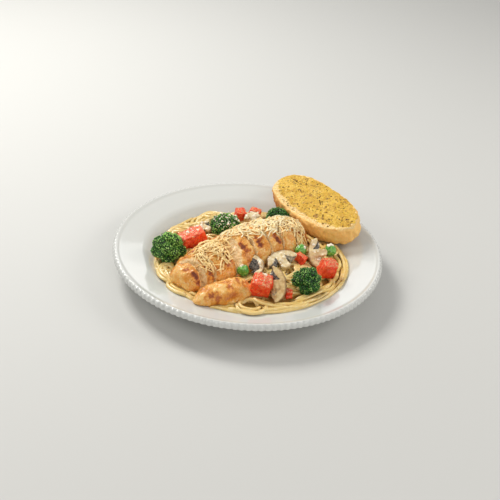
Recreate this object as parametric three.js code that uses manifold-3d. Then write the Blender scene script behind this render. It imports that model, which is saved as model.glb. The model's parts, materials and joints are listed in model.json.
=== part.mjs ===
// Fettuccine alfredo with sliced grilled chicken, broccoli, tomato, mushroom and peas, and a slice
// of garlic bread, served on a round white plate with a thick lip.
//
// Millimetres, +Z up. The origin is under the middle of the plate, on the table.

import * as THREE from 'three';
import { mergeVertices } from 'three/addons/utils/BufferGeometryUtils.js';
import Module from 'manifold-3d';

const wasm = await Module();
wasm.setup();

// ---------------------------------------------------------------- driving dimensions

const GAP = 0.35; // left between pieces that lie against each other
const GOLDEN_TURN = 2.4; // angle from one item of an even scatter to the next

const PLATE = {
  segments: 48,
  // radius and height along the eating side, from the lip's outer edge to the middle
  eatingSide: [[134, 26], [132.4, 28], [130, 27.8], [127, 26.4], [103, 22.5], [97, 18.5], [88, 12.5],
    [78, 9.2], [0, 8.5]],
  // and along the underside, from the middle over the foot ring to the lip
  underside: [[0, 1.2], [66, 1.2], [67.5, 0], [72, 0], [75, 2.5], [104, 15.5], [132, 21], [134, 22.5]],
};

const HEAP = {
  x: 4,
  y: -14,
  radius: 96,
  height: 25.5, // of its middle above the table
  edgeDrop: 7, // of its edge below the middle
  frontClimb: 5, // that much less at the front, where it climbs onto the rim
  bareRings: [0, 0.5, 0.78, 0.92, 1],
  segments: 30,
};

const NOODLE = {
  width: 3.6,
  height: 3,
  step: 10, // longest straight stretch, and the sharpest turn between two stretches
  bend: THREE.MathUtils.degToRad(21),
  clear: 0.5, // over the bare heap, which only the strands' ends dip into
  dip: 2,
};

const BREAST = {
  width: 58,
  height: 26,
  lean: THREE.MathUtils.degToRad(15), // of the knife cuts, so that the slices lie back on each other
  x: -62, // its left end
  y: -76,
};

// thickness of each chicken slice at its base, the gap in front of it, how high its base lies, its
// heading and how much more its left face leans than its right one
const SLICES = [
  [11, 0, 24.5, 50, 0],
  [11, 1.5, 24.5, 50, 9],
  [24.5, 1.5, 25, 49, 0],
  [25.7, 1.6, 26, 46.5, 21],
  [18, 2.6, 26.5, 42, 0],
  [14.5, 2, 26, 38.5, 0],
  [18.8, 2, 26, 35, 3],
  [22, 1.8, 26, 31, 0],
];

// the breast's small loose fillet: half-sizes, place and heading
const TENDER = { half: [30, 14.5, 14], at: [-20, -85, 25], heading: 0.5 };

// strips of parmesan, and the patches of chicken they are strewn over
const SHRED = { length: 12, width: 1.7, thickness: 1.1 };
const SHRED_PATCHES = [
  { count: 8, x: -31, y: -36, wide: 15, deep: 21, turn: 0.8 },
  { count: 13, x: 18, y: 10, wide: 44, deep: 14, turn: 0.5 },
];

const PEA_RADIUS = 6;
const PEAS = [
  { name: 'pea_middle', at: [-3, -50, 31] },
  { name: 'pea_back', at: [52, -7, 32] },
  { name: 'pea_right', at: [82, 5, 27.5] },
];

const TOMATO_DICE = [
  { name: 'tomato_left', size: [27, 18, 15], at: [-56, 1, 32], turn: [0.1, -0.2, 0.5] },
  { name: 'tomato_back_left', size: [12, 11, 12], at: [-11, 55, 32], turn: [0.2, 0.2, 0.3], cuts: 2 },
  { name: 'tomato_back_right', size: [13, 10, 10], at: [4, 62, 31], turn: [0, 0.2, -0.2], cuts: 2 },
  { name: 'tomato_front', size: [20, 17, 23], at: [15, -77, 33], turn: [0.3, 0.1, -0.15] },
  { name: 'tomato_right', size: [16, 14, 24], at: [77, -36, 30], turn: [0.2, 0.3, 0.3] },
  { name: 'tomato_middle', size: [13, 9, 9], at: [52, -20, 31], turn: [0, 0.4, -0.5], cuts: 2 },
  { name: 'tomato_strip', size: [7, 8, 11], at: [41, -79, 27], turn: [0, 0, 0.2], cuts: 2 },
];

const FLORETS = [
  { name: 'broccoli_left', radius: 15, height: 23, at: [-76.5, -21, 27.5], tilt: [0.45, -0.2, 0], seed: 11 },
  { name: 'broccoli_back_left', radius: 15, height: 12, at: [-25, 30, 29.5], tilt: [0.2, -0.1, 0.5], seed: 12 },
  { name: 'broccoli_back', radius: 11.5, height: 9, at: [28, 57, 29.5], tilt: [0.1, 0, 1], seed: 13 },
  { name: 'broccoli_front', radius: 13, height: 23, at: [56.5, -62, 29.5], tilt: [0.5, 0.1, 0], seed: 14 },
];

// cap is half its breadth, rise its height, stalk half the stalk's breadth and drop its length
const MUSHROOM_SLICES = [
  { name: 'mushroom_front', cap: 18.5, rise: 12, stalk: 4.5, drop: 8, at: [27, -77, 35.5], turn: [0.6, 0, -1.45] },
  { name: 'mushroom_right', cap: 17, rise: 11, stalk: 4, drop: 9, at: [69, -12, 33], turn: [0.6, 0, 1.7] },
  { name: 'mushroom_middle', cap: 17, rise: 13, stalk: 5, drop: 9, at: [34, -30, 32], turn: [0.35, 0.1, 0.6] },
  { name: 'mushroom_low', cap: 11, rise: 12, stalk: 4.5, drop: 11, at: [6, -43.5, 33], turn: [0.55, 0, -1.35] },
  { name: 'mushroom_left', cap: 9, rise: 8, stalk: 3, drop: 6, at: [-45, 25, 30], turn: [0.5, 0, 1.2] },
  { name: 'mushroom_back', cap: 9, rise: 7, stalk: 3, drop: 5, at: [2, 46, 34], turn: [0.6, 0, 0.3] },
];

const BREAD = {
  length: 123,
  width: 57,
  thickness: 22,
  squareness: 2.3, // exponent of its superellipse outline
  x: 65,
  y: 67.8,
  z: 47, // middle of the buttered face
  turn: THREE.MathUtils.degToRad(-51.5),
  roll: THREE.MathUtils.degToRad(14),
};

// ---------------------------------------------------------------- solids and surfaces

// A copy of the shape in which neighbouring faces share their corners.
function welded(geometry) {
  const bare = geometry.clone();
  bare.deleteAttribute('normal');
  bare.deleteAttribute('uv');
  return mergeVertices(bare, 1e-4);
}

function toSolid(geometry) {
  const merged = welded(geometry);
  return new wasm.Manifold(new wasm.Mesh({
    numProp: 3,
    vertProperties: merged.attributes.position.array,
    triVerts: new Uint32Array(merged.index.array),
  }));
}

function toGeometry(solid) {
  const mesh = solid.getMesh();
  const geometry = new THREE.BufferGeometry();
  geometry.setAttribute('position', new THREE.BufferAttribute(mesh.vertProperties, 3));
  geometry.setIndex(new THREE.BufferAttribute(mesh.triVerts, 1));
  geometry.computeVertexNormals();
  return geometry;
}

// The biggest of a solid's separate lumps.
function largestLump(solid) {
  return solid.decompose().sort((a, b) => b.volume() - a.volume())[0];
}

function inPlace(mesh) {
  mesh.updateMatrixWorld();
  return mesh.geometry.clone().applyMatrix4(mesh.matrixWorld);
}

function boxOf(geometry) {
  geometry.computeBoundingBox();
  return geometry.boundingBox;
}

// The room that a mesh takes up in the dish, with the gap left round it. A dressed slice of chicken
// grows from the middle of its own meat.
function roomFor(mesh) {
  mesh.updateMatrixWorld();
  const box = mesh.userData.meat ?? boxOf(mesh.geometry);
  const middle = box.getCenter(new THREE.Vector3());
  const size = box.getSize(new THREE.Vector3());
  const room = mesh.geometry.clone().translate(-middle.x, -middle.y, -middle.z);
  room.scale(1 + 2 * GAP / size.x, 1 + 2 * GAP / size.y, 1 + 2 * GAP / size.z);
  return room.translate(middle.x, middle.y, middle.z).applyMatrix4(mesh.matrixWorld);
}

// Takes the cutters, which lie in the dish's frame, out of a mesh and keeps its biggest lump.
function cutAway(mesh, cutters) {
  const outline = new THREE.Box3().setFromObject(mesh);
  const toMesh = mesh.matrixWorld.clone().invert();
  let solid = toSolid(mesh.geometry);
  for (const cutter of cutters) {
    if (!boxOf(cutter).intersectsBox(outline)) continue;
    solid = solid.subtract(toSolid(cutter.clone().applyMatrix4(toMesh)));
  }
  mesh.geometry = toGeometry(largestLump(solid));
}

// Passes every point of a geometry through the function, which changes it in place.
function reshaped(geometry, change) {
  const place = geometry.attributes.position;
  const point = new THREE.Vector3();
  for (let index = 0; index < place.count; index++) {
    point.fromBufferAttribute(place, index);
    change(point);
    place.setXYZ(index, point.x, point.y, point.z);
  }
  return geometry;
}

// A profile of [radius, height] pairs spun about the Z axis.
function spun(profile, segments) {
  const points = profile.map(([radius, height]) => new THREE.Vector2(radius, height));
  return new THREE.LatheGeometry(points, segments).rotateX(Math.PI / 2);
}

function heightAlong(profile, radius) {
  const sorted = [...profile].sort((a, b) => a[0] - b[0]);
  const next = sorted.findIndex(([r]) => r >= radius);
  if (next <= 0) return sorted[next < 0 ? sorted.length - 1 : 0][1];
  const [r0, z0] = sorted[next - 1];
  const [r1, z1] = sorted[next];
  return THREE.MathUtils.lerp(z0, z1, (radius - r0) / (r1 - r0));
}

// Repeatable random numbers from 0 to 1.
function randomFrom(seed) {
  let state = seed >>> 0;
  return () => {
    state = (state + 0x6d2b79f5) >>> 0;
    let mixed = Math.imul(state ^ (state >>> 15), state | 1);
    mixed ^= mixed + Math.imul(mixed ^ (mixed >>> 7), mixed | 61);
    return ((mixed ^ (mixed >>> 14)) >>> 0) / 4294967296;
  };
}

function between(random, low, high) {
  return low + (high - low) * random();
}

// ---------------------------------------------------------------- materials

const surface = (color, roughness) => new THREE.MeshStandardMaterial({ color, roughness, metalness: 0 });

const MATERIALS = {
  china: surface('#f3f4f1', 0.15),
  pasta: surface('#e8cf8f', 0.5),
  chicken: surface('#d9a35c', 0.55),
  broccoli: surface('#2f6b2c', 0.6),
  tomato: surface('#e2462c', 0.3),
  mushroom: surface('#cdbb9a', 0.6),
  pea: surface('#6fae4a', 0.35),
  bread: surface('#e0a94f', 0.8),
};

// ---------------------------------------------------------------- the plate

function plate() {
  const shape = spun([...PLATE.underside, ...PLATE.eatingSide], PLATE.segments);
  const mesh = new THREE.Mesh(shape, MATERIALS.china);
  mesh.name = 'plate';
  return mesh;
}

// ---------------------------------------------------------------- the heap of pasta

// Height of the bare heap above the table.
function heapTop(x, y) {
  const across = x - HEAP.x;
  const back = y - HEAP.y;
  const out = Math.hypot(across, back);
  const share = Math.min(out / HEAP.radius, 1.1);
  const towardsFront = out > 0 ? Math.max(-back / out, 0) : 0;
  return HEAP.height - (HEAP.edgeDrop - HEAP.frontClimb * towardsFront) * share ** 4;
}

// The mound under the noodles, raised by the lift and reaching down through the plate.
function mound(lift) {
  const top = HEAP.bareRings.map((share) => [share * HEAP.radius, 1]).reverse();
  const sides = spun([[0, 0], [HEAP.radius, 0], ...top], HEAP.segments);
  sides.translate(HEAP.x, HEAP.y, 0);
  return reshaped(sides, (point) => {
    if (point.z > 0.5) point.z = heapTop(point.x, point.y) + lift;
  });
}

// What the heap must stay out of: the plate's eating side with the gap over it, in few faces.
function plateClearance() {
  const rim = PLATE.eatingSide[0][0];
  const top = PLATE.eatingSide.map(([radius, height]) => [radius, height + GAP]);
  return spun([[0, 0], [rim, 0], ...top], PLATE.segments / 3);
}

// A strand that runs round part of an ellipse. It lies on the heap, or on the plate past the heap's
// edge, and both its ends dip into the heap.
class Strand extends THREE.Curve {
  constructor({ x, y, wide, deep, turn = 0, from, sweep }) {
    super();
    Object.assign(this, { x, y, wide, deep, turn, from, sweep });
  }

  getPoint(share) {
    const angle = this.from + this.sweep * share;
    const along = this.wide * Math.cos(angle);
    const aside = this.deep * Math.sin(angle);
    const x = this.x + along * Math.cos(this.turn) - aside * Math.sin(this.turn);
    const y = this.y + along * Math.sin(this.turn) + aside * Math.cos(this.turn);
    const dip = NOODLE.dip * Math.abs(2 * share - 1) ** 12;
    const onHeap = heapTop(x, y) + NOODLE.height / 2 + NOODLE.clear - dip;
    const outerSide = Math.hypot(x, y) + NOODLE.width / 2;
    const onPlate = heightAlong(PLATE.eatingSide, outerSide) + NOODLE.height / 2 + 2 * GAP;
    return new THREE.Vector3(x, y, Math.max(onHeap, onPlate));
  }
}

function noodle(strand) {
  const path = new Strand(strand);
  const section = new THREE.Shape();
  section.moveTo(-NOODLE.height / 2, -0.35 * NOODLE.width);
  section.lineTo(0.35 * NOODLE.height, -NOODLE.width / 2);
  section.lineTo(NOODLE.height / 2, 0.35 * NOODLE.width);
  section.lineTo(-0.35 * NOODLE.height, NOODLE.width / 2);
  return new THREE.ExtrudeGeometry(section, {
    steps: Math.ceil(Math.max(path.getLength() / NOODLE.step, strand.sweep / NOODLE.bend)),
    extrudePath: path,
    bevelEnabled: false,
  });
}

// Strands round the heap's edge, on rings that lie side by side.
function edgeStrands() {
  const random = randomFrom(7);
  const strands = [];
  for (const [ring, count] of [3, 4, 3].entries()) {
    const radius = 0.985 * HEAP.radius - ring * (NOODLE.width + 1);
    for (let index = 0; index < count; index++) {
      const sweep = 2 * Math.PI / count * between(random, 0.75, 0.92);
      const from = 2 * Math.PI * (index + between(random, 0, 0.2)) / count + ring;
      strands.push({ x: HEAP.x, y: HEAP.y, wide: radius, deep: radius, from, sweep });
    }
  }
  return strands;
}

// Loops on the heap where the toppings leave it bare.
const LOOPS = [
  { x: 6, y: -98, wide: 14, deep: 13, from: 0.4, sweep: 5.2 },
  { x: 31, y: -84, wide: 26, deep: 11, from: 3.4, sweep: 2.7 },
  { x: -57, y: 27, wide: 15, deep: 11, turn: 0.6, from: 0.2, sweep: 4.6 },
  { x: -36, y: 43, wide: 17, deep: 11, turn: 0.3, from: 0, sweep: 4.2 },
  { x: -6, y: 44, wide: 22, deep: 10, turn: 0.1, from: 0.5, sweep: 2.8 },
  { x: 64, y: -14, wide: 14, deep: 27, turn: 0.1, from: -1.6, sweep: 3 },
  { x: 44, y: -50, wide: 20, deep: 16, turn: 0.3, from: 2.6, sweep: 3 },
  { x: 37, y: -38, wide: 12, deep: 18, turn: -0.6, from: -1, sweep: 4 },
  { x: 60, y: -33, wide: 12, deep: 11, turn: 0.2, from: 1, sweep: 4.6 },
  { x: 1, y: -62, wide: 13, deep: 9, turn: 0.4, from: 2.6, sweep: 3.6 },
];

// The mound with the strands joined on, clear of the plate and of the cutters.
function pasta(cutters) {
  const bare = toSolid(mound(0)).subtract(toSolid(plateClearance()));
  let strands = toSolid(noodle(LOOPS[0]));
  for (const strand of [...LOOPS.slice(1), ...edgeStrands()]) {
    strands = strands.add(toSolid(noodle(strand)));
  }
  for (const cutter of cutters) strands = strands.subtract(toSolid(cutter));
  const mesh = new THREE.Mesh(toGeometry(largestLump(bare.add(strands))), MATERIALS.pasta);
  mesh.name = 'pasta';
  return mesh;
}

// ---------------------------------------------------------------- grilled chicken

// A body of half-sizes 1 whose width along X follows a superellipse, domed above and flatter below.
function tapered({ squareness, flatness, rings, segments, tip = 0 }) {
  const profile = [];
  for (let ring = 0; ring <= rings; ring++) {
    const along = -Math.cos(Math.PI * ring / rings);
    const width = Math.max(0, 1 - Math.abs(along) ** squareness) ** (1 / squareness);
    profile.push([width * (1 + tip * along), along]);
  }
  const body = spun(profile, segments).rotateY(Math.PI / 2);
  return reshaped(body, (point) => {
    if (point.z < 0) point.z *= flatness;
  });
}

// All that lies right of a leaning knife cut which meets the breast's widest level at the place along X.
function beyondCut(place, lean) {
  const size = 4 * BREAST.width;
  const block = new THREE.BoxGeometry(size, size, size).translate(size / 2, 0, 0);
  return toSolid(block.rotateY(lean).translate(place, 0, 0));
}

// Slices are cut from one breast whose length lies along X.
function slicedBreast() {
  const length = SLICES.reduce((sum, [thickness]) => sum + thickness, 0);
  const breast = tapered({ squareness: 2.9, flatness: 0.2, rings: 11, segments: 12 });
  breast.scale(length / 2, BREAST.width / 2, BREAST.height);
  const whole = toSolid(breast);
  const slices = [];
  let from = -length / 2;
  for (const [index, [thickness, , , , leftLean]] of SLICES.entries()) {
    let slice = whole;
    if (index > 0) slice = slice.intersect(beyondCut(from, BREAST.lean + THREE.MathUtils.degToRad(leftLean)));
    from += thickness;
    if (index < SLICES.length - 1) slice = slice.subtract(beyondCut(from, BREAST.lean));
    slices.push(toGeometry(slice).translate(thickness / 2 - from, 0, 0));
  }
  return slices;
}

// The slices fanned out along a gently bending line.
function chickenSlices() {
  const place = new THREE.Vector2(BREAST.x, BREAST.y);
  return slicedBreast().map((slice, index) => {
    const [thickness, gap, base, degrees] = SLICES[index];
    const heading = THREE.MathUtils.degToRad(degrees);
    const step = new THREE.Vector2(Math.cos(heading), Math.sin(heading));
    place.addScaledVector(step, gap + thickness / 2);
    const mesh = new THREE.Mesh(slice, MATERIALS.chicken);
    mesh.name = `chicken_slice_${index + 1}`;
    mesh.position.set(place.x, place.y, base);
    mesh.rotation.z = heading;
    place.addScaledVector(step, thickness / 2);
    return mesh;
  });
}

// The small fillet is pointed at its left end.
function tender() {
  const body = tapered({ squareness: 2.1, flatness: 0.4, rings: 7, segments: 10, tip: 0.25 });
  const mesh = new THREE.Mesh(body.scale(...TENDER.half), MATERIALS.chicken);
  mesh.name = 'chicken_tender';
  mesh.position.set(...TENDER.at);
  mesh.rotation.z = TENDER.heading;
  return mesh;
}

// ---------------------------------------------------------------- broccoli

// A floret: a dome of round clusters on a short tapering stalk, its middle at the crown's base.
function floret({ name, radius, height, at, tilt, seed }) {
  const random = randomFrom(seed);
  const lobes = 7;
  let crown = toSolid(new THREE.SphereGeometry(0.75 * radius, 7, 4).scale(1, 1, height / radius));
  for (let lobe = 0; lobe < lobes; lobe++) {
    const up = 0.95 * (lobe + 0.5) / lobes;
    const around = lobe * GOLDEN_TURN + between(random, -0.2, 0.2);
    const out = 0.6 * radius * Math.sqrt(1 - up * up);
    const ball = new THREE.SphereGeometry(radius * between(random, 0.38, 0.5), 6, 3);
    ball.rotateY(between(random, 0, 3)).rotateX(between(random, 0, 3));
    ball.translate(out * Math.cos(around), out * Math.sin(around), up * height * 0.62);
    crown = crown.add(toSolid(ball));
  }
  const stalk = new THREE.CylinderGeometry(0.5 * radius, 0.3 * radius, radius, 7).rotateX(Math.PI / 2);
  crown = crown.add(toSolid(stalk.translate(0, 0, -0.55 * radius)));
  const mesh = new THREE.Mesh(toGeometry(crown), MATERIALS.broccoli);
  mesh.name = name;
  mesh.position.set(...at);
  mesh.rotation.set(...tilt);
  return mesh;
}

// ---------------------------------------------------------------- diced tomato

function tomatoDie({ name, size, at, turn, cuts = 3 }) {
  const block = new THREE.BoxGeometry(2, 2, 2, cuts, cuts, cuts);
  reshaped(block, (point) => {
    const reach = (point.x ** 4 + point.y ** 4 + point.z ** 4) ** 0.25;
    point.divideScalar(reach);
  });
  const mesh = new THREE.Mesh(block.scale(...size.map((side) => side / 2)), MATERIALS.tomato);
  mesh.name = name;
  mesh.position.set(...at);
  mesh.rotation.set(...turn);
  return mesh;
}

// ---------------------------------------------------------------- sliced mushroom

// A slice straight through a mushroom, drawn upright with its stalk down.
function mushroomSlice({ name, cap, rise, stalk, drop, at, turn }) {
  const thickness = cap < 12 ? 4 : 5;
  const outline = new THREE.Shape();
  outline.moveTo(-cap, 0);
  outline.bezierCurveTo(-cap, 1.25 * rise, cap, 1.25 * rise, cap, 0);
  outline.quadraticCurveTo(0.8 * cap, -0.3 * rise, stalk, 0.12 * rise);
  outline.lineTo(0.85 * stalk, -drop);
  outline.lineTo(-0.85 * stalk, -drop);
  outline.lineTo(-stalk, 0.12 * rise);
  outline.quadraticCurveTo(-0.8 * cap, -0.3 * rise, -cap, 0);
  const shape = new THREE.ExtrudeGeometry(outline, {
    depth: thickness,
    curveSegments: 5,
    bevelEnabled: false,
  });
  const mesh = new THREE.Mesh(shape.translate(0, 0, -thickness / 2), MATERIALS.mushroom);
  mesh.name = name;
  mesh.position.set(...at);
  mesh.rotation.set(...turn);
  return mesh;
}

// ---------------------------------------------------------------- peas

function pea({ name, at }) {
  const mesh = new THREE.Mesh(new THREE.IcosahedronGeometry(PEA_RADIUS, 1), MATERIALS.pea);
  mesh.name = name;
  mesh.position.set(...at);
  return mesh;
}

// ---------------------------------------------------------------- garlic bread

// A slice of a long loaf: buttered face up, its crust rounding in towards the base.
function garlicBread() {
  const random = randomFrom(3);
  const waves = [2, 3, 5, 7].map((count) => [count, between(random, 0, 6.28), 0.02 / Math.sqrt(count)]);
  const half = BREAD.thickness / 2;
  const profile = [[0, -half], [0.84, -half], [0.97, -0.7 * half], [1, -0.2 * half], [0.985, 0.65 * half],
    [0.955, half], [0, half]];
  const slice = spun(profile, 30);
  reshaped(slice, (point) => {
    const angle = Math.atan2(point.y, point.x);
    const power = BREAD.squareness;
    const corner = Math.abs(Math.cos(angle)) ** power + Math.abs(Math.sin(angle)) ** power;
    let reach = corner ** (-1 / power);
    for (const [count, shift, size] of waves) reach *= 1 + size * Math.sin(count * angle + shift);
    point.x *= reach * BREAD.length / 2;
    point.y *= reach * BREAD.width / 2;
  });
  const mesh = new THREE.Mesh(slice.translate(0, 0, -half), MATERIALS.bread);
  mesh.name = 'garlic_bread';
  mesh.position.set(BREAD.x, BREAD.y, BREAD.z);
  mesh.rotation.set(BREAD.roll, 0, BREAD.turn, 'ZYX');
  return mesh;
}

// ---------------------------------------------------------------- shredded parmesan

function shred(random) {
  const length = SHRED.length * between(random, 0.7, 1.3);
  const bend = between(random, 0.5, 1.6);
  const strip = new THREE.BoxGeometry(length, SHRED.width, SHRED.thickness, 2, 1, 1);
  return reshaped(strip, (point) => {
    point.z += bend * (0.5 - (2 * point.x / length) ** 2);
  });
}

// Drops shreds on the slices from above and returns, for each slice, the strips that land on it.
function scatterShreds(slices, patches) {
  const random = randomFrom(21);
  const ray = new THREE.Raycaster();
  const down = new THREE.Vector3(0, 0, -1);
  const landed = slices.map(() => []);
  const targets = slices.map((slice, index) => {
    const target = new THREE.Mesh(inPlace(slice), MATERIALS.chicken);
    target.userData.slice = index;
    return target;
  });
  for (const { count, x, y, wide, deep, turn } of patches) {
    for (let index = 0; index < count; index++) {
      const around = GOLDEN_TURN * index;
      const out = Math.sqrt((index + 0.5) / count);
      const spot = new THREE.Vector2(wide * out * Math.cos(around), deep * out * Math.sin(around));
      spot.rotateAround(new THREE.Vector2(), turn).add(new THREE.Vector2(x, y));
      ray.set(new THREE.Vector3(spot.x, spot.y, 200), down);
      const [hit] = ray.intersectObjects(targets, false);
      if (!hit) continue;
      const strip = shred(random);
      strip.rotateX(between(random, -0.4, 0.4)).rotateY(between(random, -0.2, 0.2));
      strip.rotateZ(between(random, 0, Math.PI)).translate(spot.x, spot.y, hit.point.z + 0.1);
      const target = new THREE.Mesh(strip, MATERIALS.chicken);
      target.userData.slice = hit.object.userData.slice;
      landed[target.userData.slice].push(strip);
      targets.push(target);
    }
  }
  return landed;
}

// Joins the strips onto their slice, clear of the cutters, which lie in the dish's frame.
function dress(slice, strips, cutters) {
  if (strips.length === 0) return;
  let shreds = toSolid(strips[0]);
  for (const strip of strips.slice(1)) shreds = shreds.add(toSolid(strip));
  for (const cutter of cutters) shreds = shreds.subtract(toSolid(cutter));
  slice.userData.meat = boxOf(slice.geometry).clone();
  const dressed = toGeometry(largestLump(toSolid(inPlace(slice)).add(shreds)));
  slice.geometry = dressed.applyMatrix4(slice.matrixWorld.clone().invert());
}

// ---------------------------------------------------------------- laying the dish

function toppings() {
  return [
    tender(),
    ...PEAS.map(pea),
    ...TOMATO_DICE.map(tomatoDie),
    ...FLORETS.map(floret),
    ...MUSHROOM_SLICES.map(mushroomSlice),
  ];
}

// Every piece is cut to lie clear of the plate, of the bare heap and of the pieces laid before it.
function dish() {
  const beneath = [plateClearance(), mound(GAP)];
  const laid = [];
  const lay = (piece) => {
    cutAway(piece, [...beneath, ...laid.map(roomFor)]);
    laid.push(piece);
  };

  const slices = chickenSlices();
  [garlicBread(), ...slices].forEach(lay);
  const landed = scatterShreds(slices, SHRED_PATCHES);
  slices.forEach((slice, index) => {
    const others = laid.filter((piece) => piece !== slice);
    dress(slice, landed[index], others.map(roomFor));
  });
  toppings().forEach(lay);

  const group = new THREE.Group();
  group.add(plate(), pasta(laid.map(roomFor)), ...laid);
  return group;
}

export default dish();
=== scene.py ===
"""Dresses a plate of fettuccine alfredo: creamy strands, grilled chicken, cheese, vegetables and bread."""

import json
import math
import random

import bmesh
import bpy
import numpy as np
from bpy.props import FloatProperty, FloatVectorProperty, IntProperty, PointerProperty
from mathutils import Matrix, Vector, noise
from mathutils.bvhtree import BVHTree

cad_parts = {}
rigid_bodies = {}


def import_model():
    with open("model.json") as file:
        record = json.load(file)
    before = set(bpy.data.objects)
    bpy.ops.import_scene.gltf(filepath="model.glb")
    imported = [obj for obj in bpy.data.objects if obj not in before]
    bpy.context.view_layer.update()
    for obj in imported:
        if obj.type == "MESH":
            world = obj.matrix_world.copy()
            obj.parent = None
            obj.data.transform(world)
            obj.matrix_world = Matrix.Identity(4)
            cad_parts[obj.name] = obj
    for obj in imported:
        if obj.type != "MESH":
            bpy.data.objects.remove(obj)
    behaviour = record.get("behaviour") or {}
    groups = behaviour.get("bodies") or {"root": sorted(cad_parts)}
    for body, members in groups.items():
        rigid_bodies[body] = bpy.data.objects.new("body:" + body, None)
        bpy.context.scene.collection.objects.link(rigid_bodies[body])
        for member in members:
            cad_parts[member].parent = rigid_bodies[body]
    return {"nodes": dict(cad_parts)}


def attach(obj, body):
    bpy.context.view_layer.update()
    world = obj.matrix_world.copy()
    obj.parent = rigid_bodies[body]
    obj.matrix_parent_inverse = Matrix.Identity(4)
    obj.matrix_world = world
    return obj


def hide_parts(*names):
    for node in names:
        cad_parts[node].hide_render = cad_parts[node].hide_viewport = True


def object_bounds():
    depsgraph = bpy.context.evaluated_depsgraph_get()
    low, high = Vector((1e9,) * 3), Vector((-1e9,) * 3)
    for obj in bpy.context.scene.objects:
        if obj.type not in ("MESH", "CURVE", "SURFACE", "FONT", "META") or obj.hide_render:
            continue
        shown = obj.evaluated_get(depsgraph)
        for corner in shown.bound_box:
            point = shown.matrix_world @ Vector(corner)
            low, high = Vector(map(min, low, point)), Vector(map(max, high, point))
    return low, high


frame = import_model()
CAD_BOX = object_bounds()

bl_info = {
    "name": "Fettuccine alfredo plate",
    "version": (1, 0, 0),
    "blender": (4, 5, 0),
    "location": "View3D > Sidebar > Dish",
    "description": "Lays a plate of creamy pasta with grilled chicken, vegetables and garlic bread",
    "category": "Object",
}

MM = 0.001
FULL_TURN = 2 * math.pi
UP = Vector((0, 0, 1))
DOWN = Vector((0, 0, -1))
MERGE = 1e-6


# ---------------------------------------- shader maths


class Wire:
    """An output socket that patterns are written with, as in 1 - mask * 0.5."""

    def __init__(self, finish, socket):
        self.finish = finish
        self.socket = socket

    def maths(self, operation, *values):
        return self.finish.node("Math", {"operation": operation}, values)

    def __add__(self, other):
        return self.maths("ADD", self, other)

    __radd__ = __add__

    def __sub__(self, other):
        return self.maths("SUBTRACT", self, other)

    def __rsub__(self, other):
        return self.maths("SUBTRACT", other, self)

    def __mul__(self, other):
        return self.maths("MULTIPLY", self, other)

    __rmul__ = __mul__

    def step(self, low, high):
        """Rises smoothly from 0 at low to 1 at high."""
        values = {"Value": self, "From Min": low, "From Max": high}
        return self.finish.node("MapRange", {"interpolation_type": "SMOOTHSTEP"}, values)


class Finish:
    """Builds one material out of nodes; its lengths are in millimetres."""

    def __init__(self, name):
        self.material = bpy.data.materials.new(name)
        self.material.use_nodes = True
        self.tree = self.material.node_tree
        self.tree.nodes.clear()
        self.place = self.node("TexCoord", output="Object")

    def node(self, kind, settings=None, values=(), output=0):
        """Adds a node with its settings, and then the values or wires of its sockets."""
        made = self.tree.nodes.new("ShaderNode" + kind)
        for key, value in (settings or {}).items():
            setattr(made, key, value)
        for key, value in values.items() if isinstance(values, dict) else enumerate(values):
            if isinstance(value, Wire):
                self.tree.links.new(value.socket, made.inputs[key])
            else:
                made.inputs[key].default_value = value
        return Wire(self, made.outputs[output])

    def noise(self, size, detail=3, rough=0.5, twist=0):
        """Noise from 0 to 1 whose lumps are about size wide."""
        values = {"Vector": self.place, "Scale": 1 / (size * MM), "Detail": detail}
        return self.node("TexNoise", None, {**values, "Roughness": rough, "Distortion": twist})

    def attribute(self, name):
        return self.node("Attribute", {"attribute_name": name}, output="Fac")

    def mix(self, share, first, second):
        """Goes from one colour to another; each is a wire, a paint code or three numbers."""
        first, second = (end if isinstance(end, Wire) else paint(end) for end in (first, second))
        return self.node("Mix", {"data_type": "RGBA"}, {0: share, 6: first, 7: second}, 2)

    def layered(self, base, *coats):
        """Lays coats of (share, colour) over a base in turn."""
        for share, colour in coats:
            base = self.mix(share, base, colour)
        return base

    def glossy(self, base, rough, coat=0, coat_rough=0.12, flesh=None, relief=None):
        """Ends in a shader; flesh is subsurface weight, radius and scale, relief a height and its depth."""
        values = {"Base Color": base, "Roughness": rough, "Coat Weight": coat, "Coat Roughness": coat_rough}
        values["Specular IOR Level"] = 0.5
        if flesh:
            weight, radius, scale = flesh
            values.update({"Subsurface Weight": weight, "Subsurface Radius": radius})
            values["Subsurface Scale"] = scale * MM
        if relief:
            height, depth = relief
            relief = {"Height": height, "Distance": depth * MM, "Strength": 1.0}
            values["Normal"] = self.node("Bump", None, relief)
        shader = self.node("BsdfPrincipled", None, values)
        end = self.tree.nodes.new("ShaderNodeOutputMaterial")
        self.tree.links.new(shader.socket, end.inputs["Surface"])
        return self.material


def paint(code):
    """A colour written as on a paint chart, or as three numbers, in the numbers that a shader takes."""
    if not isinstance(code, str):
        return (*code, 1)
    parts = [int(code[i : i + 2], 16) / 255 for i in (0, 2, 4)]
    return (*[p / 12.92 if p <= 0.04045 else ((p + 0.055) / 1.055) ** 2.4 for p in parts], 1)


# ---------------------------------------- making pieces


def held(value):
    """The value, kept from 0 to 1."""
    return min(max(value, 0), 1)


def finished(name, shape, surface, replaced=()):
    """Makes a bmesh one smooth piece of the dish, in place of the CAD nodes it stands for."""
    mesh = bpy.data.meshes.new(name)
    for face in shape.faces:
        face.smooth = True
    shape.to_mesh(mesh)
    shape.free()
    piece = bpy.data.objects.new(name, mesh)
    piece.data.materials.append(surface)
    bpy.context.scene.collection.objects.link(piece)
    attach(piece, "root")
    if replaced:
        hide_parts(*replaced)
    return piece


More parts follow.
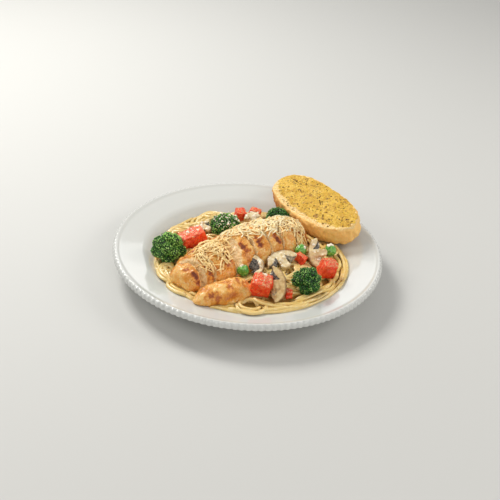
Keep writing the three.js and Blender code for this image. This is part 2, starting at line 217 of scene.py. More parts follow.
def node_shape(name):
    """A merged copy of a CAD node's solid."""
    shape = bmesh.new()
    shape.from_mesh(frame["nodes"][name].data)
    bmesh.ops.remove_doubles(shape, verts=shape.verts, dist=MERGE)
    return shape


def evened(shape, size, rounds):
    """The same form in even quads of about the given size in mm, its edges softened."""
    mesh = bpy.data.meshes.new("rough")
    shape.to_mesh(mesh)
    shape.free()
    rough = bpy.data.objects.new("rough", mesh)
    bpy.context.scene.collection.objects.link(rough)
    remesh = rough.modifiers.new("even", "REMESH")
    remesh.mode = "VOXEL"
    remesh.voxel_size = size * MM
    bpy.context.view_layer.update()
    even = rough.evaluated_get(bpy.context.evaluated_depsgraph_get())
    shape = bmesh.new()
    shape.from_mesh(even.to_mesh())
    even.to_mesh_clear()
    bpy.data.objects.remove(rough)
    bpy.data.meshes.remove(mesh)
    axes = {"use_axis_x": True, "use_axis_y": True, "use_axis_z": True}
    for _ in range(rounds):
        bmesh.ops.smooth_vert(shape, verts=shape.verts, factor=0.5, **axes)
    shape.normal_update()
    return shape


def roughened(shape, sizes, seed=0):
    """Pushes the surface in and out by noise; sizes holds the width and depth of its lumps in mm."""
    shift = Vector((seed * 0.37, seed * 0.11, seed * 0.23))
    sizes = [(width * MM, depth * MM) for width, depth in sizes]
    shape.normal_update()
    moves = []
    for vert in shape.verts:
        push = sum(depth * noise.noise(vert.co / width + shift) for width, depth in sizes)
        moves.append(vert.normal * push)
    for vert, move in zip(shape.verts, moves):
        vert.co += move


def sunk(shape, depth, layer):
    """Lets the surface in by up to depth in mm, by what the layer says."""
    for vert in shape.verts:
        vert.co -= depth * MM * vert[layer] * vert.normal


def layers(shape, *names):
    """Lets every point of a shape hold numbers under these names."""
    for name in names:
        shape.verts.layers.float.new(name)
    return [shape.verts.layers.float[name] for name in names]


def put(shape, verts, turn, place):
    """Turns points about the origin and moves them to their place."""
    bmesh.ops.rotate(shape, verts=verts, cent=(0, 0, 0), matrix=turn)
    bmesh.ops.translate(shape, verts=verts, vec=place)


def turned(x, y, z):
    return Matrix.Rotation(x, 3, "X") @ Matrix.Rotation(y, 3, "Y") @ Matrix.Rotation(z, 3, "Z")


def strewn(chance, wide, deep, crowding=0.5):
    """A random place in an ellipse of these half-sizes; a higher crowding draws it to the middle."""
    out = chance.random() ** crowding
    around = chance.uniform(0, FULL_TURN)
    return wide * out * math.cos(around), deep * out * math.sin(around)


def tree_over(meshes):
    """A tree for casting rays at several meshes at once."""
    shape = bmesh.new()
    for mesh in meshes:
        shape.from_mesh(mesh)
    tree = BVHTree.FromBMesh(shape)
    shape.free()
    return tree


def curve(name, points, tilts, **settings):
    """A curve of straight runs through some points, with the settings of its kind."""
    line = bpy.data.curves.new(name, "CURVE")
    for key, value in settings.items():
        setattr(line, key, value)
    spline = line.splines.new("POLY")
    spline.points.add(len(points) - 1)
    for point, place, tilt in zip(spline.points, points, tilts):
        point.co = (*place, 1)
        point.tilt = tilt
    made = bpy.data.objects.new(name, line)
    bpy.context.scene.collection.objects.link(made)
    return made


def swept(lines, wide, high, sides):
    """Tubes with an oval section along lines of (points, tilts, tone)."""
    steps = [FULL_TURN * i / sides for i in range(sides)]
    section = [(wide / 2 * math.cos(a), high / 2 * math.sin(a), 0) for a in steps]
    cutter = curve("section", section, [0] * sides, dimensions="2D")
    cutter.data.splines[0].use_cyclic_u = True
    kind = {"dimensions": "3D", "twist_mode": "Z_UP", "bevel_mode": "OBJECT", "bevel_object": cutter}
    tubes = [curve("strand", points, tilts, use_fill_caps=True, **kind) for points, tilts, _ in lines]
    bpy.context.view_layer.update()
    depsgraph = bpy.context.evaluated_depsgraph_get()
    shape = bmesh.new()
    layers(shape, "tone")
    for tube, (_, _, tone) in zip(tubes, lines):
        mesh = bpy.data.meshes.new_from_object(tube.evaluated_get(depsgraph))
        first = len(shape.verts)
        shape.from_mesh(mesh)
        shape.verts.ensure_lookup_table()
        layer = shape.verts.layers.float["tone"]
        for vert in shape.verts[first:]:
            vert[layer] = tone
        bpy.data.meshes.remove(mesh)
    for tube in (*tubes, cutter):
        line = tube.data
        bpy.data.objects.remove(tube)
        bpy.data.curves.remove(line)
    bmesh.ops.remove_doubles(shape, verts=shape.verts, dist=MERGE)
    bmesh.ops.recalc_face_normals(shape, faces=shape.faces)
    return shape


# ---------------------------------------- the heap and the plate as ground

HEAP_X = 4 * MM
HEAP_Y = -14 * MM
HEAP_RADIUS = 96 * MM
HEAP_HEIGHT = 25.5 * MM
HEAP_DROP = 7 * MM
HEAP_CLIMB = 5 * MM

# radius and height of each corner of the plate, and the size and steps of its rounding
WELL = 8.5
EATING_SIDE = [
    (134, 26, 0.7, 3),
    (132.4, 28, 1.0, 4),
    (130, 27.8, 0.8, 3),
    (127, 26.4, 1.2, 4),
    (103, 22.5, 4, 5),
    (97, 18.5, 2.5, 4),
    (88, 12.5, 3.5, 5),
    (78, 9.2, 6, 6),
    (0, WELL, 0, 0),
]
UNDERSIDE = [
    (0, 1.2, 0, 0),
    (66, 1.2, 0.6, 3),
    (67.5, 0, 0, 0),
    (72, 0, 0, 0),
    (75, 2.5, 1.5, 3),
    (104, 15.5, 8, 5),
    (132, 21, 5, 5),
    (134, 22.5, 0.5, 2),
]
PLATE_RADII = [corner[0] * MM for corner in reversed(EATING_SIDE)]
PLATE_HEIGHTS = [corner[1] * MM for corner in reversed(EATING_SIDE)]


def heap_top(x, y):
    """Height of the bare heap, which falls off to its edge, and less so in front; x and y may be arrays."""
    across = x - HEAP_X
    back = y - HEAP_Y
    out = np.hypot(across, back)
    share = np.minimum(out / HEAP_RADIUS, 1.1)
    towards_front = np.maximum(-back / np.maximum(out, 1e-9), 0)
    return HEAP_HEIGHT - (HEAP_DROP - HEAP_CLIMB * towards_front) * share**4


def plate_top(x, y):
    return np.interp(np.hypot(x, y), PLATE_RADII, PLATE_HEIGHTS)


class Ground:
    """Heights on a square grid, which rise as things are laid on it."""

    def __init__(self, low, high, cell):
        """Takes two corners and the width of a cell in mm."""
        self.low = [side * MM for side in low]
        self.cell = cell * MM
        self.counts = [int((side * MM - start) / self.cell) + 1 for start, side in zip(self.low, high)]
        lines = [start + self.cell * np.arange(count) for start, count in zip(self.low, self.counts)]
        self.x, self.y = np.meshgrid(*lines, indexing="ij")
        self.height = np.zeros_like(self.x)
        self.bare = np.zeros_like(self.x)
        self.ceiling = np.full_like(self.x, 1.0)

    def cells(self, points, reach):
        """Grid cells within reach of each point, and how far each lies from it."""
        span = int(math.ceil(reach / self.cell))
        step = np.arange(-span, span + 1)
        steps = [a.ravel() for a in np.meshgrid(step, step, indexing="ij")]
        i, j = (
            (np.rint((points[:, axis] - self.low[axis]) / self.cell).astype(int)[:, None] + steps[axis]).clip(
                0, self.counts[axis] - 1
            )
            for axis in (0, 1)
        )
        return i, j, np.hypot(self.x[i, j] - points[:, :1], self.y[i, j] - points[:, 1:2])

    def seen(self, tree, start, way):
        """What upright rays from a height in mm hit, as grid places and heights."""
        for i, j in np.ndindex(*self.counts):
            hit = tree.ray_cast(Vector((self.x[i, j], self.y[i, j], start * MM)), way)[0]
            if hit:
                yield i, j, hit.z

    def piled(self, plan):
        """How high the things already laid stand over the bare ground along a plan line."""
        i, j, _ = self.cells(plan, 0)
        return (self.height - self.bare)[i, j].mean()

    def lay(self, plan, width, thick, sink, dip=0.0):
        """Lets a stiff strand down along a plan line and gives its points; its ends droop by dip."""
        i, j, away = self.cells(plan, width / 2)
        near = away <= width / 2
        rest = np.where(near, self.height[i, j], -1).max(axis=1) + thick / 2 - sink
        cap = np.where(near, self.ceiling[i, j], 1).min(axis=1) - thick / 2 - 0.3 * MM
        level = rest.copy()
        for _ in range(8):
            level = np.maximum(rest, self.eased(level))
        share = np.linspace(-1, 1, len(plan))
        level = np.minimum(level - dip * np.abs(share) ** 10, cap)
        for _ in range(3):
            level = self.eased(level)
        level = np.minimum(level, cap)
        crown = level[:, None] + thick / 2 * np.sqrt(np.clip(1 - (away / (width / 2)) ** 2, 0, 1))
        np.maximum.at(self.height, (i[near], j[near]), crown[near])
        return np.column_stack([plan, level])

    @staticmethod
    def eased(level):
        """Draws each height but the ends towards its neighbours'."""
        smooth = level.copy()
        smooth[1:-1] = 0.5 * level[1:-1] + 0.25 * (level[:-2] + level[2:])
        return smooth


# ---------------------------------------- settings

SEEDS = {"pasta": 5, "cheese": 8, "cream": 6, "herbs": 4}


def length(name, description, default):
    return FloatProperty(name=name, description=description, default=default * MM, unit="LENGTH")


def amount(name, description, default):
    return IntProperty(name=name, description=description, default=default)


def tint(name, description, code):
    default = paint(code)[:3]
    return FloatVectorProperty(name=name, description=description, default=default, subtype="COLOR")


class PastaSettings(bpy.types.PropertyGroup):
    width: length("Strand width", "Width of one strand of pasta", 3.5)
    thickness: length("Strand thickness", "Thickness of one strand", 2.8)
    strands: amount("Strands", "Strands strewn over the heap", 105)
    colour: tint("Colour", "Colour of the sauced pasta", "ebcc82")
    gap_shade: tint("Painted gap shade", "Colour of the sauce under the strands, painted dark as the shade between them", "96702c")


class ChickenSettings(bpy.types.PropertyGroup):
    width: length("Width", "Width of the breast", 58)
    height: length("Height", "Height of the breast over its widest line", 24.8)
    flesh: tint("Flesh", "Colour of the cut meat", "fcdca4")
    skin: tint("Skin", "Colour of the seared outside", "efa63e")
    sear: tint("Sear", "Colour of the grill marks", "7c3408")


class CheeseSettings(bpy.types.PropertyGroup):
    strips: amount("Strips", "Shreds of cheese on the chicken", 620)
    colour: tint("Colour", "Colour of the cheese", "fff3cc")


class VegetableSettings(bpy.types.PropertyGroup):
    bud: length("Bud", "Width of one broccoli bud", 1.5)
    broccoli: tint("Broccoli", "Colour of the crowns", "2c6e1d")
    tomato: tint("Tomato", "Colour of the diced tomato", "f4381a")
    pea: tint("Pea", "Colour of the peas", "4a9832")


class BreadSettings(bpy.types.PropertyGroup):
    flecks: amount("Herb flecks", "Flecks of dried herb on the butter", 430)
    butter: tint("Butter", "Colour of the buttered crumb", "cc9c1e")
    crust: tint("Crust", "Colour of the crust", "fac672")


class DishSettings(bpy.types.PropertyGroup):
    pasta: PointerProperty(type=PastaSettings)
    chicken: PointerProperty(type=ChickenSettings)
    cheese: PointerProperty(type=CheeseSettings)
    vegetables: PointerProperty(type=VegetableSettings)
    bread: PointerProperty(type=BreadSettings)


# ---------------------------------------- stage

TABLE = (0.6, 0.6, 0.58, 1)
TABLE_HALF = 3
AIR = (1, 0.99, 0.97, 1)
AIR_STRENGTH = 0.36
WARM = (1, 0.98, 0.95)

# name, place, size, power and tint
LAMPS = [
    ("window", (-0.62, 0.66, 0.9), (0.45, 0.45), 12, (1, 0.985, 0.95)),
    ("left box", (-1.0, -0.2, 0.8), (0.5, 0.5), 3, WARM),
    ("right box", (1.0, 0.1, 0.7), (0.5, 0.5), 4, WARM),
    ("front box", (0.35, -1.15, 0.6), (0.7, 0.7), 4, WARM),
    ("back box", (0, 1.34, 0.67), (0.4, 0.3), 0.58, (1, 1, 1)),
]
LAMPS_LOOK_AT = Vector((0, 0, 0.02))
CAMERA_ELEVATION = math.radians(31.98)
CAMERA_ROLL = math.radians(4.49)
CAMERA_AIM = Vector((0, 0, 20 * MM))
CAMERA_ASIDE = Vector((1.98 * MM, 2.86 * MM, 0))


class DISH_OT_stage(bpy.types.Operator):
    """Sets the floor, the soft lights and the camera"""

    bl_idname = "dish.stage"
    bl_label = "Stage"

    def execute(self, context):
        scene = context.scene
        scene.view_settings.view_transform = "Standard"
        floor = bmesh.new()
        bmesh.ops.create_grid(floor, x_segments=1, y_segments=1, size=TABLE_HALF)
        mesh = bpy.data.meshes.new("floor")
        floor.to_mesh(mesh)
        floor.free()
        piece = bpy.data.objects.new("floor", mesh)
        piece.data.materials.append(Finish("pale table").glossy(TABLE, 0.7))
        scene.collection.objects.link(piece)

        scene.world = bpy.data.worlds.new("room")
        scene.world.use_nodes = True
        air = scene.world.node_tree.nodes["Background"]
        air.inputs["Color"].default_value = AIR
        air.inputs["Strength"].default_value = AIR_STRENGTH
        for name, place, size, power, tone in LAMPS:
            light = bpy.data.lights.new(name, "AREA")
            light.shape = "RECTANGLE"
            light.size, light.size_y = size
            light.energy = power
            light.color = tone
            lamp = bpy.data.objects.new(name, light)
            lamp.location = place
            lamp.rotation_euler = (LAMPS_LOOK_AT - Vector(place)).to_track_quat("-Z", "Y").to_euler()
            scene.collection.objects.link(lamp)

        lens = bpy.data.cameras.new("camera")
        lens.sensor_width = 36
        lens.lens = 72
        lens.clip_start = 0.01
        camera = bpy.data.objects.new("camera", lens)
        turn = Matrix.Rotation(math.pi / 2 - CAMERA_ELEVATION, 4, "X")
        place = CAMERA_AIM + turn @ CAMERA_ASIDE + turn @ UP
        camera.matrix_world = Matrix.Translation(place) @ turn @ Matrix.Rotation(CAMERA_ROLL, 4, "Z")
        scene.collection.objects.link(camera)
        scene.camera = camera
        return {"FINISHED"}


# ---------------------------------------- plate

FLUTES = 140
FLUTE_DEPTH = 1.0 * MM
FLUTE_DIP = 0.35 * MM


def rounded_line(corners):
    """A wire in the XZ plane through corners of (x, z, size of the rounding, its steps)."""
    shape = bmesh.new()
    verts = [shape.verts.new((x * MM, 0, z * MM)) for x, z, _, _ in corners]
    for first, second in zip(verts, verts[1:]):
        shape.edges.new((first, second))
    kind = {"offset_type": "OFFSET", "profile": 0.5, "affect": "VERTICES", "material": -1}
    for vert, (_, _, size, steps) in zip(verts, corners):
        if steps:
            bmesh.ops.bevel(shape, geom=[vert], offset=size * MM, segments=steps, **kind)
    return shape


def china(name):
    finish = Finish(name)
    base = finish.mix(finish.noise(60), "cdcfcb", "d4d5d1")
    rough = 0.1 + 0.05 * finish.noise(18)
    return finish.glossy(base, rough, 0.6, 0.05, relief=(finish.noise(30, 2), 0.12))


class DISH_OT_plate(bpy.types.Operator):
    """Turns the plate and flutes its lip"""

    bl_idname = "dish.plate"
    bl_label = "Plate"

    def execute(self, context):
        shape = rounded_line([*UNDERSIDE, *EATING_SIDE])
        bmesh.ops.spin(
            shape, geom=[*shape.verts, *shape.edges], cent=(0, 0, 0), axis=(0, 0, 1), dvec=(0, 0, 0),
            angle=FULL_TURN, steps=6 * FLUTES, use_merge=True, use_duplicate=False,
        )
        bmesh.ops.remove_doubles(shape, verts=shape.verts, dist=MERGE)
        bmesh.ops.recalc_face_normals(shape, faces=shape.faces)
        for vert in shape.verts:
            out = math.hypot(vert.co.x, vert.co.y)
            share = held((out - 130.2 * MM) / (2.4 * MM))
            if share == 0 or vert.co.z < 21 * MM:
                continue
            wave = (0.5 - 0.5 * math.cos(FLUTES * math.atan2(vert.co.y, vert.co.x))) ** 1.5
            narrowed = 1 - FLUTE_DEPTH * share * wave / out
            vert.co.x *= narrowed
            vert.co.y *= narrowed
            if vert.co.z > 25.5 * MM:
                vert.co.z -= FLUTE_DIP * share * wave
        finished("plate_glazed", shape, china("glazed china"), ["plate"])
        return {"FINISHED"}


# ---------------------------------------- pasta

STRAND_STEP = 2.4 * MM
CORE_RADIUS = HEAP_RADIUS - 4 * MM
CORE_DEPTH = 3.9 * MM
LOWEST_STRAND_DEPTH = 4.6 * MM

# in mm: how high strands may stand over the bare heap, how much higher on a mound, and how far in from
# the heap's edge the rings under and over the other strands run
HEADROOM = 4.2
MOUND_RISE = 7.5
LOW_RINGS = (2, 6, 10.2)
HIGH_RINGS = (3.5, 8.5, 14)

# how near the heap's edge a roaming strand starts to turn back, and how near it may come
SWERVE_INSET = 24 * MM
EDGE_INSET = 3 * MM

# middle, half-sizes, turn, start and sweep of the loops that lie on top
SHOWING_LOOPS = [
    (6, -98.5, 13.5, 12, 0, 0.4, 6.4),
    (33, -86, 25, 11, 0, 3.3, 2.9),
    (-57, 27, 15, 11, 0.6, 0.2, 4.6),
    (-36, 43, 17, 11, 0.3, 0, 4.2),
    (-24, 53, 19, 9, 0.25, 0.3, 4.0),
    (-42, 38, 15, 10, 0.7, 1.2, 4.4),
    (-46, 46, 15, 10, 0.6, 0, 5.5),
    (-36, 54, 14, 8, 0.2, 2, 5.5),
    (-44, 50, 11, 8, 0.5, 4, 5.5),
    (-70, 15, 13, 9, 1.0, 0.5, 5.5),
    (-68, 21, 11, 8, 0.2, 3, 5),
    (-71, -52, 12, 16, 0.5, 1.0, 4.2),
    (-60, -77, 15, 8, -0.6, 1.5, 4),
    (-6, 44, 22, 10, 0.1, 0.5, 2.8),
    (64, -14, 14, 27, 0.1, -1.6, 3),
    (44, -50, 20, 16, 0.3, 2.6, 3),
    (37, -38, 12, 18, -0.6, -1, 4),
    (60, -33, 12, 11, 0.2, 1, 4.6),
    (1, -62, 13, 9, 0.4, 2.6, 3.6),
]

# middle and breadth of places where loops lie piled up
MOUNDS = [(-41, 52, 18), (-72, 19, 13)]

# middle and half-sizes of places where a loop lies open
CLEARINGS = [(6, -98.5, 10.5, 9.5), (31, -86, 15, 5), (-57, 27, 9, 6), (-36, 43, 10, 6)]


def ellipse_plan(x, y, wide, deep, turn, start, sweep):
    """A strand that runs along part of an ellipse."""
    count = max(int(abs(sweep) * (wide + deep) / 2 / STRAND_STEP), 6)
    angle = start + sweep * np.linspace(0, 1, count)
    along = wide * np.cos(angle)
    aside = deep * np.sin(angle)
    across = x + along * math.cos(turn) - aside * math.sin(turn)
    back = y + along * math.sin(turn) + aside * math.cos(turn)
    return np.column_stack([across, back])


def nest_plan(chance, radius, sweep, sway, start=None):
    """A strand that runs round the heap at about one distance from its middle."""
    if start is None:
        start = chance.uniform(0, FULL_TURN)
    count = max(int(sweep * radius / STRAND_STEP), 6)
    share = np.linspace(0, 1, count)
    angle = start + sweep * share
    waves = sum(
        chance.uniform(0.3, 1) * sway / n * np.sin(n * 2.2 * angle + chance.uniform(0, 6)) for n in (1, 2)
    )
    reach = np.minimum(radius + waves, HEAP_RADIUS - 1.2 * MM)
    return np.column_stack([HEAP_X + reach * np.cos(angle), HEAP_Y + reach * np.sin(angle)])


def roaming_plan(chance, reach):
    """A strand that wanders with bends of its own and turns back at the heap's edge."""
    out = HEAP_RADIUS * math.sqrt(chance.uniform(0.02, 0.8))
    angle = chance.uniform(0, FULL_TURN)
    middle = Vector((HEAP_X, HEAP_Y))
    place = Vector((HEAP_X + out * math.cos(angle), HEAP_Y + out * math.sin(angle)))
    heading = chance.uniform(0, FULL_TURN)
    bend = chance.choice((-1, 1)) / (chance.uniform(14, 34) * MM)
    points = []
    for index in range(int(reach / STRAND_STEP)):
        points.append(tuple(place))
        if index % 14 == 13:
            bend = 0.35 * bend + chance.uniform(-1, 1) / (15 * MM)
        inward = middle - place
        spin = bend
        if inward.length > HEAP_RADIUS - SWERVE_INSET:
            swing = math.atan2(inward.y, inward.x) - heading
            swing = (swing + math.pi) % FULL_TURN - math.pi
            nearness = min((inward.length - HEAP_RADIUS + SWERVE_INSET) / (20 * MM), 1)
            spin = (1 - nearness) * bend + nearness * math.copysign(1 / (13 * MM), swing)
        heading += spin * STRAND_STEP
        place = place + STRAND_STEP * Vector((math.cos(heading), math.sin(heading)))
        if (place - middle).length > HEAP_RADIUS - EDGE_INSET:
            place = middle + (place - middle).normalized() * (HEAP_RADIUS - EDGE_INSET)
    return np.array(points)


def outside_clearings(plan):
    """The longest run of a plan that keeps out of the open loops."""
    within = np.zeros(len(plan), bool)
    for x, y, wide, deep in CLEARINGS:
        within |= np.hypot((plan[:, 0] / MM - x) / wide, (plan[:, 1] / MM - y) / deep) < 1
    runs = np.split(np.arange(len(plan)), np.flatnonzero(np.diff(within)) + 1)
    runs = [run for run in runs if not within[run[0]]]
    return plan[max(runs, key=len)] if runs else plan[:0]


def pasta_ground():
    """The plate and the heap's core, under a ceiling that keeps the strands below the toppings."""
    ground = Ground((-112, -128), (118, 96), 0.7)
    plate = plate_top(ground.x, ground.y)
    core = heap_top(ground.x, ground.y) - LOWEST_STRAND_DEPTH
    inside = np.hypot(ground.x - HEAP_X, ground.y - HEAP_Y) < CORE_RADIUS
    ground.height = np.where(inside, np.maximum(plate, core), plate)
    ground.bare = np.maximum(heap_top(ground.x, ground.y), plate)
    piled = sum(
        np.exp(-((ground.x - x * MM) ** 2 + (ground.y - y * MM) ** 2) / (wide * MM) ** 2)
        for x, y, wide in MOUNDS
    )
    ground.ceiling = ground.bare + (HEADROOM + MOUND_RISE * piled) * MM
    nodes = frame["nodes"]
    toppings = tree_over(nodes[name].data for name in nodes if name not in ("plate", "pasta"))
    for i, j, height in ground.seen(toppings, 10, UP):
        ground.ceiling[i, j] = height
    return ground


def sauced(name, settings):
    finish = Finish(name)
    shaded = finish.attribute("tone").step(0.2, 1)
    cream = finish.noise(5, 5, 0.65).step(0.48, 0.66) * 0.45
    base = finish.layered(settings.colour, (shaded, "e2be66"), (cream, "fae6b4"))
    rough = 0.28 + 0.2 * finish.noise(5)
    return finish.glossy(base, rough, 0.45, 0.18, (0.1, (1.0, 0.6, 0.25), 1.0), (finish.noise(1.6, 3), 0.18))


def gap_shaded_sauce(name, settings):
    finish = Finish(name)
    # The sauce under the strands is painted dark brown as painted shade between the strands; the noise
    # lightens it in patches towards the sauce's own colour.
    thin = finish.noise(9, 3)
    base = finish.mix(thin, settings.gap_shade, "d2a858")
    return finish.glossy(base, 0.35 + 0.15 * thin, relief=(finish.noise(2.5, 3), 0.4))


def heap_core():
    """The flat cake of sauce that the strands lie on."""
    shape = bmesh.new()
    bmesh.ops.create_circle(shape, cap_ends=True, cap_tris=True, segments=96, radius=CORE_RADIUS)
    bmesh.ops.subdivide_edges(shape, edges=[e for e in shape.edges if not e.is_boundary], cuts=24)
    bmesh.ops.translate(shape, verts=shape.verts, vec=(HEAP_X, HEAP_Y, 0))
    lower = bmesh.ops.duplicate(shape, geom=[*shape.verts, *shape.edges, *shape.faces])["geom"]
    lower = {g for g in lower if isinstance(g, bmesh.types.BMVert)}
    for vert in shape.verts:
        plate = plate_top(vert.co.x, vert.co.y) + 0.25 * MM
        top = heap_top(vert.co.x, vert.co.y) - CORE_DEPTH
        vert.co.z = plate if vert in lower else max(top, plate + 0.15 * MM)
    bmesh.ops.bridge_loops(shape, edges=[e for e in shape.edges if e.is_boundary])
    bmesh.ops.recalc_face_normals(shape, faces=shape.faces)
    return shape


class DISH_OT_pasta(bpy.types.Operator):
    """Heaps the strands of pasta on their core of sauce"""

    bl_idname = "dish.pasta"
    bl_label = "Pasta"

    def execute(self, context):
        settings = context.scene.dish.pasta
        chance = random.Random(SEEDS["pasta"])
        ground = pasta_ground()
        lines = []

        def lay(plan, showing=False):
            if not showing:
                plan = outside_clearings(plan)
            if len(plan) < 6:
                return
            points = ground.lay(plan, settings.width, settings.thickness, 0.5 * MM, 2 * MM)
            wave = chance.uniform(25, 60) * MM
            phase = chance.uniform(0, 6)
            swing = chance.uniform(0.3, 1.1)
            run = np.arange(len(points)) * STRAND_STEP
            tilts = swing * np.sin(run / wave * 2 * math.pi + phase)
            lines.append((points, tilts, chance.random()))

        for inset in LOW_RINGS:
            for start in range(5):
                plan = nest_plan(chance, HEAP_RADIUS - inset * MM, 1.45, 1.1 * MM, start * 1.26 + inset)
                lay(plan, showing=inset == LOW_RINGS[0])
        for _ in range(settings.strands):
            tries = [roaming_plan(chance, chance.uniform(80, 190) * MM) for _ in range(7)]
            lay(min(tries, key=ground.piled))
        for inset in HIGH_RINGS:
            radius = HEAP_RADIUS - inset * MM
            for _ in range(4):
                tries = [nest_plan(chance, radius, chance.uniform(0.7, 1.5), 3 * MM) for _ in range(4)]
                lay(min(tries, key=ground.piled))
        for x, y, wide, deep, turn, start, sweep in SHOWING_LOOPS:
            for shrink in (0, 4.0):
                reach = [(side - shrink) * MM for side in (wide, deep)]
                shift = chance.uniform(-1.5, 1.5) * MM
                lay(ellipse_plan(x * MM + shift, y * MM - shift, *reach, turn, start, sweep), showing=True)
        strands = swept(lines, settings.width, settings.thickness, 8)
        roughened(strands, [(7, 0.35)])
        finished("pasta_strands", strands, sauced("sauced pasta", settings), ["pasta"])
        finished("pasta_core", heap_core(), gap_shaded_sauce("gap-shaded sauce", settings), ["pasta"])
        return {"FINISHED"}


# ---------------------------------------- chicken

# thickness, gap in front, height of the base, heading, and what its left face leans more than its right
SLICES = [
    (11, 0, 24.5, 50, 0),
    (11, 1.5, 24.5, 50, 9),
    (24.5, 1.5, 25, 49, 0),
    (25.7, 1.6, 26, 46.5, 21),
    (18, 2.6, 26.5, 42, 0),
    (14.5, 2, 26, 38.5, 0),
    (18.8, 2, 26, 35, 3),
    (22, 1.8, 26, 31, 0),
]

# the fillet's number, after the slices'
FILLET = 9

# for each slice and the fillet: place along and across its middle, reach along and across, strength
GRILL_MARKS = {
    1: [(4.1, -1.2, 3, 3, 0.75), (6.5, -6, 2.6, 6, 0.6), (4.3, -12.5, 2.6, 6, 1.0), (7, 9, 2.2, 6, 0.6)],
    2: [
        (2, 14, 2.5, 4, 0.5), (5.5, -4.3, 3, 3.5, 0.6), (5.7, -10.3, 2.4, 5, 1.0), (6.6, -20, 2.6, 6, 0.95),
        (9.1, 5.4, 2, 6, 0.5),
    ],
    3: [
        (13.6, 2.9, 3, 4.5, 0.7), (10.5, -5.4, 3, 3.5, 0.7), (11.8, -9.9, 3.2, 3.2, 1.15),
        (13.8, -13.5, 3, 3, 0.85), (12, -20, 4, 4, 0.4), (-2, -16, 3, 4, 0.4), (8, -19, 8, 5, 0.72),
        (-6, -19, 5, 4, 0.6),
    ],
    4: [
        (2, -20, 5, 4, 0.55), (7.3, -14.1, 2.8, 4.6, 1.15), (5.9, -10.5, 2.5, 3.5, 0.9),
        (9.4, -18.6, 2.6, 3.4, 0.75), (17, -15, 3, 5, 0.4), (13.4, -23.4, 4, 3, 0.45),
    ],
    5: [
        (5.1, -14.1, 3.2, 3.5, 0.75), (2.5, -17.4, 3.2, 3.2, 1.1), (2.9, -10.8, 2.6, 3.2, 0.8),
        (8.5, -20, 3, 4, 0.5),
    ],
    6: [
        (6.1, -7.3, 2.6, 4, 0.65), (5.4, -14.7, 2.6, 4, 0.85), (7, -18.6, 2.4, 3.6, 1.1),
        (4, -23, 3, 3, 0.45),
    ],
    7: [(5.5, -18, 4, 4, 0.45), (9, -8, 3, 5, 0.4)],
    8: [(-1.9, -13.5, 3, 4, 0.75), (0.3, -15, 3, 3, 0.75), (6.6, -12.4, 3.4, 4.5, 0.95)],
    FILLET: [
        (-0.2, 2.9, 4, 2.6, 0.6), (2.9, -5.6, 2, 4, 0.75), (5.5, -8.7, 1.8, 3, 0.7), (14, -1.3, 2, 4.5, 0.75),
        (18, -6, 2, 3.5, 0.6), (-14.8, -7.6, 4, 2.4, 0.85), (-10.7, -10.9, 4, 2.2, 0.75),
        (-22, 3.5, 4, 2.5, 0.5), (-8, 6, 5, 2, 0.45),
    ],
}

# in mm, how far the darkest char is sunk in
CHAR_DEPTH = 0.6


def tapered(squareness, flatness, half, tip=0.0):
    """A body of the given half-sizes, along X: domed above, flatter below."""
    shape = bmesh.new()
    bmesh.ops.create_uvsphere(shape, u_segments=64, v_segments=48, radius=1)
    bmesh.ops.rotate(shape, verts=shape.verts, cent=(0, 0, 0), matrix=Matrix.Rotation(math.pi / 2, 3, "Y"))
    for vert in shape.verts:
        along = min(abs(vert.co.x), 1)
        plain = math.sqrt(max(1 - along**2, 1e-12))
        wanted = (1 - along**squareness) ** (1 / squareness) * (1 + tip * vert.co.x)
        vert.co.y *= wanted / plain
        vert.co.z *= wanted / plain * (flatness if vert.co.z < 0 else 1)
    bmesh.ops.scale(shape, verts=shape.verts, vec=half)
    return shape


def cut_off(shape, point, normal):
    """Cuts away what lies beyond a plane and closes the cut."""
    geometry = [*shape.verts, *shape.edges, *shape.faces]
    cut = bmesh.ops.bisect_plane(shape, geom=geometry, plane_co=point, plane_no=normal, clear_outer=True)
    edges = [g for g in cut["geom_cut"] if isinstance(g, bmesh.types.BMEdge)]
    bmesh.ops.holes_fill(shape, edges=edges)


def cut_normal(more_lean):
    lean = math.radians(15 + more_lean)
    return Vector((math.cos(lean), 0, -math.sin(lean)))


def slumped(shape, planes):
    """Rounds the shoulders of a slice towards its cut faces."""
    for vert in shape.verts:
        inside = min([abs((point - vert.co).dot(normal)) for point, normal in planes], default=1)
        drop = 1.7 * MM * math.exp(-((inside / (1.9 * MM)) ** 2))
        out = Vector((0, vert.co.y, max(vert.co.z, 0)))
        if out.length > 6 * MM:
            vert.co -= drop * min(out.length / (18 * MM), 1) * out.normalized()


def seared(shape, item, planes):
    """Writes how seared each point is and where the meat is cut, from its place before it is laid."""
    skin_layer, char_layer = layers(shape, "skin", "char")
    shift = Vector((item, 3, 1))
    for vert in shape.verts:
        place = vert.co
        inside = min([(point - place).dot(normal) for point, normal in planes], default=1)
        ragged = 0.6 * MM * noise.noise(place / (2.5 * MM))
        skin = held((inside + ragged - 0.3 * MM) / (1.2 * MM))
        rim = (0.3 + 0.3 * (item < 4)) * math.exp(-(((inside - 2.2 * MM) / (2 * MM)) ** 2))
        char = rim * (0.8 + 1.0 * noise.noise(place / (6 * MM) + shift))
        wobble = 0.5 * noise.noise(place / (4 * MM) + shift) + 0.4 * noise.noise(place / (1.6 * MM))
        for along, across, long, wide, strength in GRILL_MARKS[item]:
            away = math.hypot((place.x - along * MM) / (long * MM), (place.y - across * MM) / (wide * MM))
            char = max(char, strength * held(1.2 - 0.62 * away - wobble))
        patch = 0.22 + 0.6 * noise.noise(place / (11 * MM) + shift)
        vert[skin_layer] = skin
        vert[char_layer] = skin * min(max(char, patch), 1)
    return char_layer


